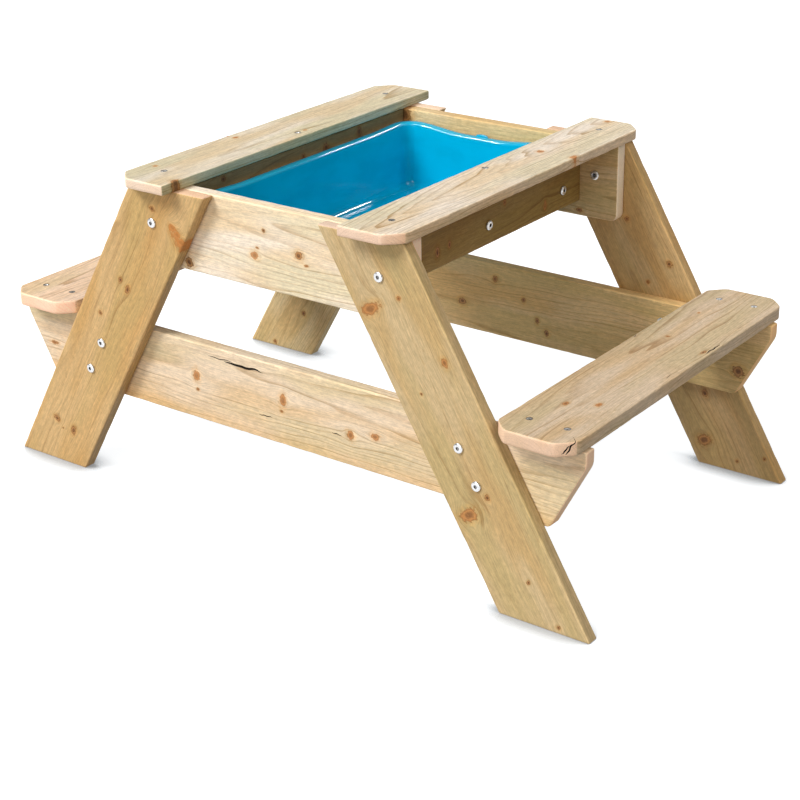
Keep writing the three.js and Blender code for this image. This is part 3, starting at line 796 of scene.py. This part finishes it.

# What each board looks like: its tone, where its pith lies under the face and how it leans, the width of
# a growth ring, how strongly the rings show, and its knots as (along, across, half along, half across,
# darkness). A crack is (along, across, length, width). A check in an end face is (along, across, height,
# the way the face looks, slant, length, width). A band is (where it starts, where it is full, tint).
# painted_side_shade is (which side, tint): painted shade on that side of a board.
BOARDS = {
    "leg_near_left": dict(
        tone=(219, 183, 129), pith=(46, -70), lean=(0.02, 0.015), spacing=4.2, end_tint=LEG_END_GRAIN,
        contrast=0.7,
        knots=[(-239, 9, 4, 5, 0.7), (-240, -33, 4, 8, 0.1), (-236, -40, 5, 9, 0.1),
               (-231, -48, 7, 10, 0.1), (-225, -57, 9, 10, 0.1),
               (-94, -6, 7, 4, 0.8), (-98, 10, 4, 4, 0.8), (-21, 21, 4, 4, 0.8), (211, 22, 5, 6, 0.8),
               (204, -13, 8, 5, 0.8), (217, 6, 2, 2, 0.9)]),
    "leg_near_right": dict(
        tone=(210, 185, 141), pith=(-20, -60), lean=(0.03, -0.02), spacing=3.8, end_tint=LEG_END_GRAIN,
        contrast=0.65,
        knots=[(-188, -37, 8, 16, 0.45), (-185, 10, 3, 4, 0.6), (-87, 38, 7, 5, 0.5),
               (-61, -19, 2, 2, 0.9), (95, 8, 4.5, 4, 0.8), (109, -33, 9, 16, 0.55),
               (217, 10, 3, 3, 0.9), (285, 24, 3, 3, 0.9)]),
    "leg_far_left": dict(
        tone=(228, 203, 154), pith=(10, -45), lean=(0.04, 0.02), spacing=4.4, end_tint=LEG_END_GRAIN,
        contrast=0.8,
        knots=[(187, -10, 5, 5, 0.8), (281, 15, 4, 4, 0.8), (-60, 22, 6, 5, 0.5)]),
    "leg_far_right": dict(
        tone=(208, 175, 125), pith=(-35, -50), lean=(-0.03, 0.02), spacing=4.0, end_tint=LEG_END_GRAIN,
        contrast=0.7,
        knots=[(-141, 6, 4, 4, 0.7), (-54, 41, 5, 5, 0.8), (-41, -6, 3, 3, 0.6), (148, 4, 7, 5, 0.8),
               (216, -32, 9, 12, 0.7), (263, 4, 3, 3, 0.8), (272, 50, 2.5, 3, 0.8)]),
    "apron_near": dict(
        tone=(254, 240, 222), pith=(30, -42), lean=(0.015, 0.03), spacing=5.0, contrast=0.9,
        knots=[(-11, 25, 3, 3, 0.9), (49, 1, 7, 6, 0.7), (-29, -13, 7, 6, 0.3), (-24, -4, 3, 2, 0.5),
               (62, -9, 4, 2, 0.5), (-152, -47, 7, 8, 0.9)]),
    "apron_far": dict(
        tone=(228, 202, 158), pith=(-24, -52), lean=(0.02, 0.02), spacing=4.4, contrast=0.7,
        knots=[(-152, 49, 12, 14, 0.7), (173, -51, 5, 3, 0.7), (60, 10, 6, 5, 0.5)],
        end_tint=(1.30, 1.50, 2.20)),
    "beam_near": dict(
        tone=(243, 221, 194), pith=(28, -38), lean=(0.012, 0.02), spacing=4.8, contrast=0.9,
        knots=[(-153, 8, 6, 9, 0.3), (-152, -10, 3, 3, 0.6), (9, 9, 6, 9, 0.35), (6, -4, 3, 3, 0.6),
               (128, -13, 6, 7, 0.4), (170, -5, 7, 5, 0.4), (-448, -7, 8, 3, 0.5)],
        cracks=[(-62, 42, 74, 4.4), (-104, 45, 50, 1.6), (-24, -23, 26, 1.7), (104, -18, 18, 1.5)],
        bands=[(-22, -50, (0.97, 0.86, 0.68))]),
    "beam_far": dict(
        tone=(242, 209, 154), pith=(-30, -40), lean=(-0.02, 0.03), spacing=4.2, contrast=0.8,
        knots=[(-42, -15, 7, 6, 0.8), (21, 35, 5, 6, 0.6), (75, 11, 4, 4, 0.7), (101, -18, 4, 5, 0.7),
               (119, -35, 5, 5, 0.8), (451, -22, 9, 9, 0.8), (-260, 20, 8, 7, 0.6)]),
    "rail_left": dict(
        tone=(206, 178, 130), pith=(12, -34), lean=(0.02, 0.03), spacing=4.0, contrast=0.9,
        knots=[(130, 36, 6, 8, 0.7), (48, 31, 8, 7, 0.8), (-6, 30, 4, 4, 0.7), (-184, 40, 5, 4, 0.8)],
        # The band darkens the rail towards its top: painted shade under the plank above it.
        bands=[(24, 44, (0.34, 0.34, 0.32))]),
    "rail_right": dict(
        tone=(168, 138, 79), pith=(-8, -34), lean=(0.03, -0.02), spacing=4.0, contrast=1.0,
        knots=[(-95, -21, 4, 6, 0.7), (-124, -24, 5, 8, 0.8), (41, 3, 4, 4, 0.6), (148, -30, 4, 8, 0.5)]),
    "batten_left": dict(
        tone=(216, 182, 136), pith=(5, -30), lean=(0.02, 0.01), spacing=4.0, contrast=0.5,
        knots=[(-90, 5, 5, 5, 0.6), (120, -10, 6, 5, 0.5)]),
    "batten_right": dict(
        tone=(216, 182, 136), pith=(-9, -30), lean=(-0.02, 0.02), spacing=4.3, contrast=0.5,
        knots=[(60, 8, 5, 5, 0.6), (-150, -6, 6, 5, 0.4)]),
    "top_plank_left": dict(
        tone=(232, 221, 203), pith=(-14, -55), lean=(0.01, 0.02), spacing=3.4, contrast=1.0,
        knots=[(-246, 27, 4, 4, 0.1), (-72, 30, 5, 4, 0.15), (-74, 44, 3, 3, 0.2), (16, -30, 4, 3, 0.2),
               (-284, -46, 8, 6, 0.6)],
        # Its inner side, over the tub, gets painted shade, tinted green as a painted reflection of the
        # blue tub.
        painted_side_shade=(-1, (0.68, 0.76, 0.68))),
    "top_plank_right": dict(
        tone=(237, 225, 211), pith=(10, -30), lean=(0.03, 0.05), spacing=3.4, contrast=1.2,
        knots=[(110, 10, 6, 6, 0.25), (301, 12, 4, 4, 0.2), (112, -43, 8, 4, 0.1)],
        # Its outer side gets a warm painted shade.
        painted_side_shade=(-1, (0.92, 0.83, 0.72)), end_tint=(1.12, 0.94, 0.88)),
    "seat_left": dict(
        tone=(251, 222, 196), pith=(16, -36), lean=(0.02, 0.03), spacing=4.0, contrast=1.0,
        knots=[(-150, 10, 5, 5, 0.3), (120, -20, 6, 5, 0.3), (30, 34, 4, 4, 0.5)]),
    "seat_right": dict(
        tone=(210, 189, 163), pith=(22, -44), lean=(0.02, 0.02), spacing=3.6, contrast=0.9,
        end_tint=(1.32, 1.18, 1.20),
        knots=[(-191, 14, 6, 4, 0.6), (-171, -23, 7, 4, 0.4), (85, 18, 3, 3, 0.6), (60, -50, 7, 2.5, 0.9),
               (190, 25, 3, 2, 0.3)],
        cracks=[(78, -55.5, 42, 2.4), (61, 56, 9, 1.4), (-40, -52, 16, 1.0)],
        checks=[(-291.5, -48.5, -0.5, 225, 50, 16, 2.4), (-287.2, -52.8, 2, 225, 50, 23, 2.8)]),
}


def rounded(distance, radius):
    """How far a round corner lies inside its square one, at a distance from the edge."""
    if distance >= radius:
        return 0.0
    return radius - math.sqrt(max(radius**2 - (radius - distance) ** 2, 0.0))


def board_frame(node, x_axis, y_axis):
    """A board's own axes, set in the middle of its CAD node."""
    turn = turned_to(x_axis, y_axis, x_axis.cross(y_axis))
    return Matrix.Translation(centre_mm(node) * MM) @ turn


def square_end(y, half_width):
    return 0.0


def screw_rings(top, bottom):
    """A countersunk hole right through a board, as a cutter's rings."""
    hole = SCREW_SHANK + 0.3
    head = SCREW_HEAD + 0.15
    face = top - SCREW_SUNK
    return [(bottom - CUT_SPARE, hole), (face - COUNTERSINK, hole), (face - 0.4, head),
            (top + CUT_SPARE, head + 0.05)]


def keep_board_place(board):
    """Stores each point's place in the board's coordinates, then moves the mesh to its place."""
    mesh = board.data
    place = mesh.attributes.new(BOARD_PLACE, "FLOAT_VECTOR", "POINT")
    place.data.foreach_set("vector", [value for vertex in mesh.vertices for value in vertex.co])
    mesh.transform(board.matrix_world)
    board.matrix_world = Matrix()


def finish_board(node, matrix, half, holes, extra=(), inset=square_end, slope=0.0):
    """Makes the piece that stands for one CAD board."""
    look = dict(BOARDS[node])
    cracks, checks = look.pop("cracks", ()), look.pop("checks", ())
    seed = 3.7 * (1 + list(BOARDS).index(node))
    mesh = board_mesh(node + "_board", half, inset, slope, look["knots"], extra, seed)
    axes = [column.to_3d() for column in list(matrix.col)[:3]]
    mesh.materials.append(make_wood(node + "_wood", axes, **look))
    board = add_object(node + "_board", mesh)
    board.matrix_world = matrix
    cutters = [hole_cutter(x, y, rings) for x, y, rings in holes]
    cutters += [face_crack(*crack, half[2]) for crack in cracks]
    cutters += [end_check(*check) for check in checks]
    if cutters:
        cut(board, cutters, node)
    keep_board_place(board)
    smooth(board.data)
    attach(board, TABLE_BODY)
    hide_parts(node)


def through_hole(radius, half_thick):
    return [(-half_thick - CUT_SPARE, radius), (half_thick + CUT_SPARE, radius)]


def local_place(matrix, point_mm):
    """A point of the object, in millimetres, in a board's own millimetres."""
    return matrix.inverted() @ (Vector(point_mm) * MM) / MM


def bolt_holes(matrix, nodes, radius, half_thick):
    holes = []
    for node in nodes:
        place = local_place(matrix, centre_mm(node))
        holes.append((place.x, place.y, through_hole(radius, half_thick)))
    return holes


def make_legs():
    for end in ENDS:
        for side, way in SIDES.items():
            node = f"leg_{end}_{side}"
            extent, thick, height = size_mm(node)
            root = math.sqrt(extent**2 + height**2 - BOARD_WIDTH**2)
            slope = (extent * height - BOARD_WIDTH * root) / (height**2 - BOARD_WIDTH**2)
            c = 1 / math.hypot(1, slope)
            s = slope * c
            matrix = board_frame(node, Vector((way * s, 0, -c)), Vector((way * c, 0, s)))
            half = (height / c / 2, BOARD_WIDTH / 2, thick / 2)
            bolts = [f"bolt_{part}_{end}_{side}" for part in ("apron", "beam_upper", "beam_lower")]
            holes = bolt_holes(matrix, bolts, BOLT_HOLE, half[2])
            finish_board(node, matrix, half, holes, slope=slope)


def cross_board(node, inset, nuts, corner):
    """An apron or a beam: it lies across the table, and its lower corners are round."""
    half = size_mm(node) / 2
    matrix = board_frame(node, ACROSS, UP)
    holes = bolt_holes(matrix, nuts, NUT_HOLE, half.y)
    finish_board(node, matrix, (half.x, half.z, half.y), holes, near_edge(corner), inset)


def near_edge(radius):
    """Places across a board's lower edge where a round corner needs its points."""
    return [ARRIS - BOARD_WIDTH / 2 + radius * share for share in (0.04, 0.1, 0.2, 0.32, 0.5, 0.7, 0.9)]


def apron_inset(y, half_width):
    return rounded(y + half_width, APRON_CORNER)


def beam_inset(y, half_width):
    """A square nose under the seat, a soft bend, then a long slope to the bottom edge."""
    below = half_width - BEAM_NOSE - y
    slope = BEAM_SLOPE_RUN / (2 * half_width - BEAM_NOSE)
    bend = BEAM_CORNER
    if below < -bend:
        cut_back = 0.0
    elif below < bend:
        cut_back = slope * (below + bend) ** 2 / (4 * bend)
    else:
        cut_back = slope * below
    return cut_back + rounded(y + half_width, BEAM_CORNER)


def make_cross_boards():
    for end in ENDS:
        nuts = [f"nut_apron_{end}_{side}" for side in SIDES]
        cross_board(f"apron_{end}", apron_inset, nuts, APRON_CORNER)
        nuts = [f"nut_beam_{level}_{end}_{side}" for side in SIDES for level in ("upper", "lower")]
        cross_board(f"beam_{end}", beam_inset, nuts, BEAM_CORNER)


def make_rails():
    for side in SIDES:
        for kind in ("rail", "batten"):
            node = f"{kind}_{side}"
            half = size_mm(node) / 2
            matrix = board_frame(node, ALONG, UP)
            bolts = [f"rail_bolt_{side}_{i}" for i in (1, 2, 3)]
            holes = bolt_holes(matrix, bolts, BOLT_HOLE, half.x)
            finish_board(node, matrix, (half.y, half.z, half.x), holes)


def corner_cut(y, edge, size):
    """A corner cut off at 45 degrees, softly bent where it starts and where it meets the side."""
    inside = size - (edge - y)
    bend = CORNER_BEND
    if inside < -bend:
        return 0.0
    if inside < bend:
        return (inside + bend) ** 2 / (4 * bend)
    return inside + rounded(edge - y, bend)


def flat_board(node, inset, screws, extra):
    """A plank or seat, lying level along Y. Its screws come through from the top."""
    half = size_mm(node) / 2
    matrix = board_frame(node, ALONG, -ACROSS)
    holes = []
    for point in screws:
        place = local_place(matrix, point)
        holes.append((place.x, place.y, screw_rings(half.z, -half.z)))
    finish_board(node, matrix, (half.y, half.x, half.z), holes, extra, inset)


def middle_screw_place(side):
    """The screw mid-way along a top plank goes into the rail under it."""
    rail, plank = centre_mm(f"rail_{side}"), box_mm(f"top_plank_{side}")[1]
    return Vector((rail.x + SIDES[side] * RAIL_SCREW_OUT, 0, plank.z))


def make_planks_and_seats():
    for side, way in SIDES.items():
        screws = [centre_mm(f"plank_screw_{end}_{side}") for end in ENDS]
        screws.append(middle_screw_place(side))
        edge = size_mm(f"top_plank_{side}").x / 2 - PLANK_CORNER_CUT
        flat_board(
            f"top_plank_{side}",
            lambda y, half_width, way=way: corner_cut(-way * y, half_width, PLANK_CORNER_CUT),
            screws, [-way * edge])
        names = [f"seat_screw_{end}_{side}_{row}" for end in ENDS for row in ("inner", "outer")]
        screws = [centre_mm(name) for name in names]
        edge = BOARD_WIDTH / 2 - SEAT_CORNER_CUT
        flat_board(
            f"seat_{side}",
            lambda y, half_width: corner_cut(abs(y), half_width, SEAT_CORNER_CUT),
            screws, [-edge, edge])


# ---------------------------------------------------------------- tub

TUB_RIM_RISE = 2.5
TUB_RIM_DIP = 4.5
TUB_CORNER = 32.0
TUB_INNER_CORNER = 12.0
TUB_RIM_WIDTH = 14.0
TUB_LIP = 9.0
TUB_WALL = 2.6
TUB_DRAFT = 8.0
TUB_FLOOR_ROUND = 13.0
TUB_TAB_HALF = 11.0
TUB_TAB_HEIGHT = 4.0
TUB_RIM_DEPTH = 6.0
RIM_ROUND = 3.0
RIM_ROLL = 4.7
RIM_SLOPE = 0.2  # how much lower the rim's inner edge is than its outer one
RIM_INNER_BEND = 0.8
RIM_OUTER_BEND = 1.2
RIM_FADE = 40.0  # how far down the walls take part in the rim's rise and dip
LIP_ROUND = 0.25
FLOOR_SHARES = (0.8, 0.5, 0.2, 0.02)
PLASTIC_RELIEF = 0.8
TAB_STEPS = 24
ROUND_STEPS = 8
CORNER_STEPS = 16
LONG_STEPS = 48
SHORT_STEPS = 40


def smoothstep(value, low, high):
    t = min(max((value - low) / (high - low), 0.0), 1.0)
    return t * t * (3 - 2 * t)


def tub_ring(half_x, half_y, radius):
    """One level ring: a rectangle with round corners, as (x, y) points in turn."""
    arcs = []
    for i, (sign_x, sign_y) in enumerate(((1, 1), (-1, 1), (-1, -1), (1, -1))):
        x, y = sign_x * (half_x - radius), sign_y * (half_y - radius)
        turns = [(i + step / CORNER_STEPS) * math.pi / 2 for step in range(CORNER_STEPS + 1)]
        arcs.append([(x + radius * math.cos(turn), y + radius * math.sin(turn)) for turn in turns])
    ring = []
    for i, arc in enumerate(arcs):
        start, stop = arc[-1], arcs[(i + 1) % 4][0]
        steps = LONG_STEPS if i % 2 else SHORT_STEPS
        ring += arc
        for step in range(1, steps):
            ring.append(tuple(a + (b - a) * step / steps for a, b in zip(start, stop)))
    return ring


def make_plastic():
    material, graph, sockets = new_material("blue_plastic")
    place = graph.place_mm()
    cloud = graph.noise(place, (0.012, 0.012, 0.03), 3.0)
    colour = graph.mix(graph.step(cloud, 0.35, 0.65), linear(0, 164, 206), linear(0, 174, 216))
    scuffs = graph.step(graph.noise(place, (0.9, 0.05, 0.4)), 0.66, 0.78)
    colour = graph.mix(scuffs * 0.05, colour, linear(90, 190, 225))
    ripple = graph.noise(place, 0.012, 0.0)
    grained = graph.noise(place, 1.6)
    rough = graph.step(grained, 0.3, 0.7, 0.07, 0.11) + scuffs * 0.01
    graph.surface(sockets, colour, rough, ripple + grained * 0.015, 0.25, PLASTIC_RELIEF)
    sockets["Specular IOR Level"].default_value = 0.5
    return material


def rim_offset(x, y, half_x, half_y):
    """How far the rim stands over its nominal height: it dips in the middle of the short sides."""
    near_short_side = smoothstep(abs(y), half_y * 0.62, half_y * 0.9)
    towards_middle = 1 - smoothstep(abs(x), half_x * 0.2, half_x * 0.8)
    return near_short_side * (TUB_RIM_RISE - (TUB_RIM_RISE + TUB_RIM_DIP) * towards_middle)


def floor_plate(edge, height):
    """Rings that close in on the middle of the tub's floor."""
    return [[(x * share, y * share, height) for x, y, _ in edge] for share in FLOOR_SHARES]


class TubShape:
    """The tub's thin shell as rings of points, worked out from its CAD box."""

    def __init__(self, low, high):
        self.half_x, self.half_y = high.x, high.y
        self.rim = high.z - TUB_RIM_RISE
        self.wall_top = self.rim - TUB_RIM_DEPTH
        self.bottom = low.z
        self.floor = low.z + TUB_WALL

    def ring(self, inset, height, follow=1.0):
        """follow is how far the ring takes part in the rim's rise and dip."""
        radius = max(TUB_CORNER - inset, TUB_INNER_CORNER)
        points = tub_ring(self.half_x - inset, self.half_y - inset, radius)
        return [(x, y, height + follow * rim_offset(x, y, self.half_x, self.half_y)) for x, y in points]

    def wall_inset(self, z):
        return TUB_RIM_WIDTH + (self.rim - z) / (self.rim - self.floor) * TUB_DRAFT

    def wall(self, thickness, steps):
        """Rings between the rim's underside and the floor's round corner, on one skin."""
        stop = self.floor + TUB_FLOOR_ROUND
        rings = []
        for step in range(1, steps):
            z = self.wall_top + (stop - self.wall_top) * step / steps
            follow = smoothstep(z, self.rim - RIM_FADE, self.wall_top)
            rings.append(self.ring(self.wall_inset(z) - thickness, z, follow))
        return rings

    def floor_round(self, radius, thickness):
        """Rings round the corner between a wall and the floor, on one skin."""
        start, low = self.wall_inset(self.floor) - thickness, self.floor - thickness
        rings = []
        for step in range(ROUND_STEPS + 1):
            turn = step / ROUND_STEPS * math.pi / 2
            inset, height = start + radius * (1 - math.cos(turn)), low + radius * (1 - math.sin(turn))
            rings.append(self.ring(inset, height, 0.0))
        return rings

    def arc(self, inset, height, radius, start, stop, steps):
        """Rings round a part of the rolled rim, from one angle to another, in degrees."""
        rings = []
        for step in range(steps + 1):
            turn = math.radians(start + (stop - start) * step / steps)
            rings.append(self.ring(inset + radius * math.cos(turn), height + radius * math.sin(turn)))
        return rings

    def outside(self):
        corner = self.floor_round(TUB_FLOOR_ROUND + TUB_WALL, TUB_WALL)
        return (self.wall(TUB_WALL, 8) + corner + floor_plate(corner[-1], self.bottom))[::-1]

    def under_rim(self):
        under, lip = self.rim - TUB_WALL, self.rim - TUB_LIP
        return [
            self.ring(self.wall_inset(self.wall_top) - TUB_WALL, self.wall_top),
            self.ring(TUB_RIM_WIDTH - TUB_WALL - RIM_INNER_BEND, under - RIM_INNER_BEND),
            self.ring(TUB_WALL + RIM_OUTER_BEND, under),
            self.ring(TUB_WALL, under - RIM_OUTER_BEND),
            self.ring(TUB_WALL, lip, 0.0),
            self.ring(TUB_WALL / 2, lip, 0.0),
            self.ring(LIP_ROUND, lip + LIP_ROUND, 0.0),
            self.ring(0.0, lip + 4 * LIP_ROUND, 0.0),
        ]

    def over_rim(self):
        outer = self.arc(RIM_ROUND, self.rim - RIM_ROUND, RIM_ROUND, 180, 90, 7)
        centre = self.rim - RIM_ROLL - RIM_SLOPE
        return outer + self.arc(TUB_RIM_WIDTH - RIM_ROLL, centre, RIM_ROLL, 84, 4, 8)

    def inside(self):
        corner = self.floor_round(TUB_FLOOR_ROUND, 0.0)
        return self.wall(0.0, 10) + corner + floor_plate(corner[-1], self.floor)

    def rows(self):
        """Up the outside, round the rim, down the inside and over the floor."""
        return self.outside() + self.under_rim() + self.over_rim() + self.inside()


def make_tub():
    shape = TubShape(*box_mm("tub"))
    rows = shape.rows()
    vertices = [point for row in rows for point in row]
    tub = add_object("tub_shell", new_mesh("tub_shell", vertices, skin(len(rows), len(rows[0]))))
    for way in ENDS.values():
        apply_boolean(tub, tub_tab(way, shape.half_y, shape.rim), "UNION")
    tub.data.materials.clear()
    tub.data.materials.append(make_plastic())
    smooth(tub.data, 50)
    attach(tub, TUB_BODY)
    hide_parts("tub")


def tub_tab(way, half_y, rim):
    """The small rounded tab that stands on a short side's rim."""
    base = rim - TUB_RIM_DIP - 1.2
    middle = way * (half_y - TUB_WALL / 2 - 0.5)
    layers = [(-0.5, 0.9), (-0.35, 0.98), (0.35, 0.98), (0.5, 0.9)]
    vertices = []
    for depth, scale in layers:
        for i in range(TAB_STEPS + 1):
            angle = math.pi * i / TAB_STEPS
            z = base + (TUB_TAB_HEIGHT + 0.8) * scale * math.sin(angle) ** 0.7
            vertices.append((TUB_TAB_HALF * scale * math.cos(angle), middle + depth * TUB_WALL, z))
    return add_object("tab", new_mesh("tab", vertices, skin(len(layers), TAB_STEPS + 1)))


# ---------------------------------------------------------------- fasteners

BOLT_HEAD = 7.2
BOLT_HEAD_HEIGHT = 3.4
BOLT_SHANK = 3.0
BOLT_SOCKET = 2.7
NUT_BARREL = 4.2
NUT_FLANGE = 2.0
NUT_BORE = 3.3
TURNED_STEPS = 48
ZINC_RELIEF = 0.08


def make_zinc():
    material, graph, sockets = new_material("zinc")
    step = graph.step
    place = graph.place_mm()
    spangle = graph.noise(place, 0.9, 3.0)
    turning = graph.noise(place, (4.0, 4.0, 0.6))
    colour = graph.mix(step(spangle, 0.35, 0.65), linear(206, 208, 212), linear(232, 233, 235))
    smudge = step(graph.noise(place, 0.35), 0.55, 0.75)
    colour = graph.mix(smudge * 0.4, colour, linear(168, 160, 146))
    # Painted shade down a bolt's socket, a screw's cross recess and a nut's bore: darker below the face,
    # within their radius.
    x, y, z = graph.split(place)
    inside = graph.fall(graph.vector("LENGTH", graph.join(x, y, 0.0)), 2.9, 3.5)
    socket = inside * step(z, -1.0, -0.15, 0.75, 0.0)
    colour = graph.mix(socket, colour, linear(84, 80, 78))
    rough = step(spangle + smudge * 0.3, 0.3, 0.9, 0.26, 0.46)
    graph.surface(sockets, colour, rough, spangle + turning, 0.3, ZINC_RELIEF)
    sockets["Metallic"].default_value = 1.0
    return material


def dome(radius, height, flat_radius, steps=6):
    """Rings over a low domed head, from its edge to its flat top at height 0."""
    rings = []
    for step in range(steps + 1):
        angle = step / steps * math.pi / 2
        share = math.cos(angle)
        rings.append((-height + height * math.sin(angle), flat_radius + (radius - flat_radius) * share))
    return rings


def thread(shank, start, stop, pitch=1.0, depth=0.35):
    """Rings of a thread between two heights."""
    rings, height = [], start
    while height < stop - pitch:
        rings += [(height, shank - depth), (height + pitch * 0.3, shank), (height + pitch * 0.6, shank)]
        height += pitch
    return rings


def bolt_rings(length):
    """Bolt along +Z with a domed head and a six-sided socket. The top of its head is at height 0."""
    under = -BOLT_HEAD_HEIGHT
    tip = under - length
    rings = [(tip, BOLT_SHANK - 0.8), (tip + 0.8, BOLT_SHANK - 0.2)]
    rings += thread(BOLT_SHANK, tip + 1, under - length * 0.35)
    rings += [(under - 0.3, BOLT_SHANK), (under, BOLT_SHANK + 0.3), (under, BOLT_HEAD - 0.3)]
    rings += [(under + 0.35, BOLT_HEAD), (under + 1.0, BOLT_HEAD)]
    rings += dome(BOLT_HEAD, BOLT_HEAD_HEIGHT - 1.3, BOLT_SOCKET + 1.0)[1:]
    rings.append((-0.02, BOLT_SOCKET + 0.45))
    socket = ((-0.25, BOLT_SOCKET + 0.12), (-2.3, BOLT_SOCKET), (-2.7, BOLT_SOCKET * 0.5))
    return rings + [(height, radius, hex_shape) for height, radius in socket]


def nut_rings(length):
    """Flanged barrel nut along +Z, open right through. The face of its flange is at height 0."""
    under = -NUT_FLANGE
    return [
        (under - length, NUT_BARREL - 0.3),
        (under - length + 0.5, NUT_BARREL),
        (under - 0.2, NUT_BARREL),
        (under, NUT_BARREL + 0.3),
        (under, BOLT_HEAD - 0.3),
        (under + 0.35, BOLT_HEAD),
        (under + 0.9, BOLT_HEAD - 0.05),
        (under + 1.5, BOLT_HEAD - 0.5),
        (-0.1, BOLT_HEAD - 1.5),
        (0.0, BOLT_HEAD - 2.2),
        (-0.05, NUT_BORE + 0.35),
        (-0.4, NUT_BORE),
        (under - length, NUT_BORE),
    ]


def screw_head_rings(length):
    """Countersunk screw along +Z with a cross recess. The top of its head is at height 0."""
    rings = [(-length, 0.3), (-length + 5, SCREW_SHANK - 0.5)]
    rings += thread(SCREW_SHANK, -length + 5.5, -length * 0.35, pitch=1.6, depth=0.7)
    rings += [
        (-COUNTERSINK - 1, SCREW_SHANK - 0.3),
        (-COUNTERSINK, SCREW_SHANK),
        (-0.5, SCREW_HEAD - 0.1),
        (-0.2, SCREW_HEAD),
        (0.0, SCREW_HEAD - 0.15),
        (-0.05, SCREW_HEAD - 1.0),
    ]
    recess = ((-0.08, 2.6), (-0.30, 2.4), (-1.6, 1.7), (-2.1, 0.8))
    return rings + [(height, radius, cross_shape) for height, radius in recess]


def turned_mesh(name, rings, material, closed=False):
    mesh = new_mesh(name, *revolve(rings, TURNED_STEPS, closed), material)
    smooth(mesh, 40)
    return mesh


def place_fastener(name, mesh, top, towards, turn, node=None):
    """Puts a fastener's top at that place, in millimetres, facing towards, turned about its own axis."""
    piece = add_object(name, mesh)
    aim = towards.to_track_quat("Z", "Y").to_matrix().to_4x4()
    piece.matrix_world = Matrix.Translation(top * MM) @ aim @ Matrix.Rotation(turn, 4, "Z")
    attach(piece, TABLE_BODY)
    if node:
        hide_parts(node)


def outward_of(node, centre):
    """Which way a fastener's head faces."""
    x, y = math.copysign(1, centre.x), math.copysign(1, centre.y)
    ways = {"bolt_": Vector((0, y, 0)), "nut_": Vector((0, -y, 0)), "rail_bolt_": Vector((x, 0, 0))}
    return next((way for start, way in ways.items() if node.startswith(start)), UP)


def make_fasteners():
    zinc = make_zinc()
    bolt_length = size_mm("bolt_apron_near_left").y - BOLT_HEAD_HEIGHT
    rail_bolt_length = size_mm("rail_bolt_left_1").x - BOLT_HEAD_HEIGHT
    nut_length = size_mm("nut_apron_near_left").y - NUT_FLANGE
    screw_length = size_mm("seat_screw_near_left_inner").z
    meshes = {
        "bolt_": turned_mesh("leg_bolt", bolt_rings(bolt_length), zinc),
        "nut_": turned_mesh("barrel_nut", nut_rings(nut_length), zinc, closed=True),
        "rail_bolt_": turned_mesh("rail_bolt", bolt_rings(rail_bolt_length), zinc),
        "seat_screw_": turned_mesh("wood_screw", screw_head_rings(screw_length), zinc),
    }
    meshes["plank_screw_"] = meshes["seat_screw_"]
    nodes = [n for n in sorted(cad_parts) if n.startswith(tuple(meshes))]
    for i, node in enumerate(nodes):
        mesh = next(meshes[start] for start in meshes if node.startswith(start))
        centre = centre_mm(node)
        towards = outward_of(node, centre)
        top = centre + towards * abs(size_mm(node).dot(towards)) / 2
        place_fastener(node + "_turned", mesh, top, towards, i * 0.61, node)
    for side in SIDES:
        top = middle_screw_place(side) - UP * SCREW_SUNK
        place_fastener(f"plank_screw_middle_{side}", meshes["plank_screw_"], top, UP, 0.4)


# ---------------------------------------------------------------- assembly

make_camera()
make_stage()
KNOT_GROUP = make_knot_group()
SHADED_INSIDE = make_shaded_inside()
make_legs()
make_cross_boards()
make_rails()
make_planks_and_seats()
make_tub()
make_fasteners()
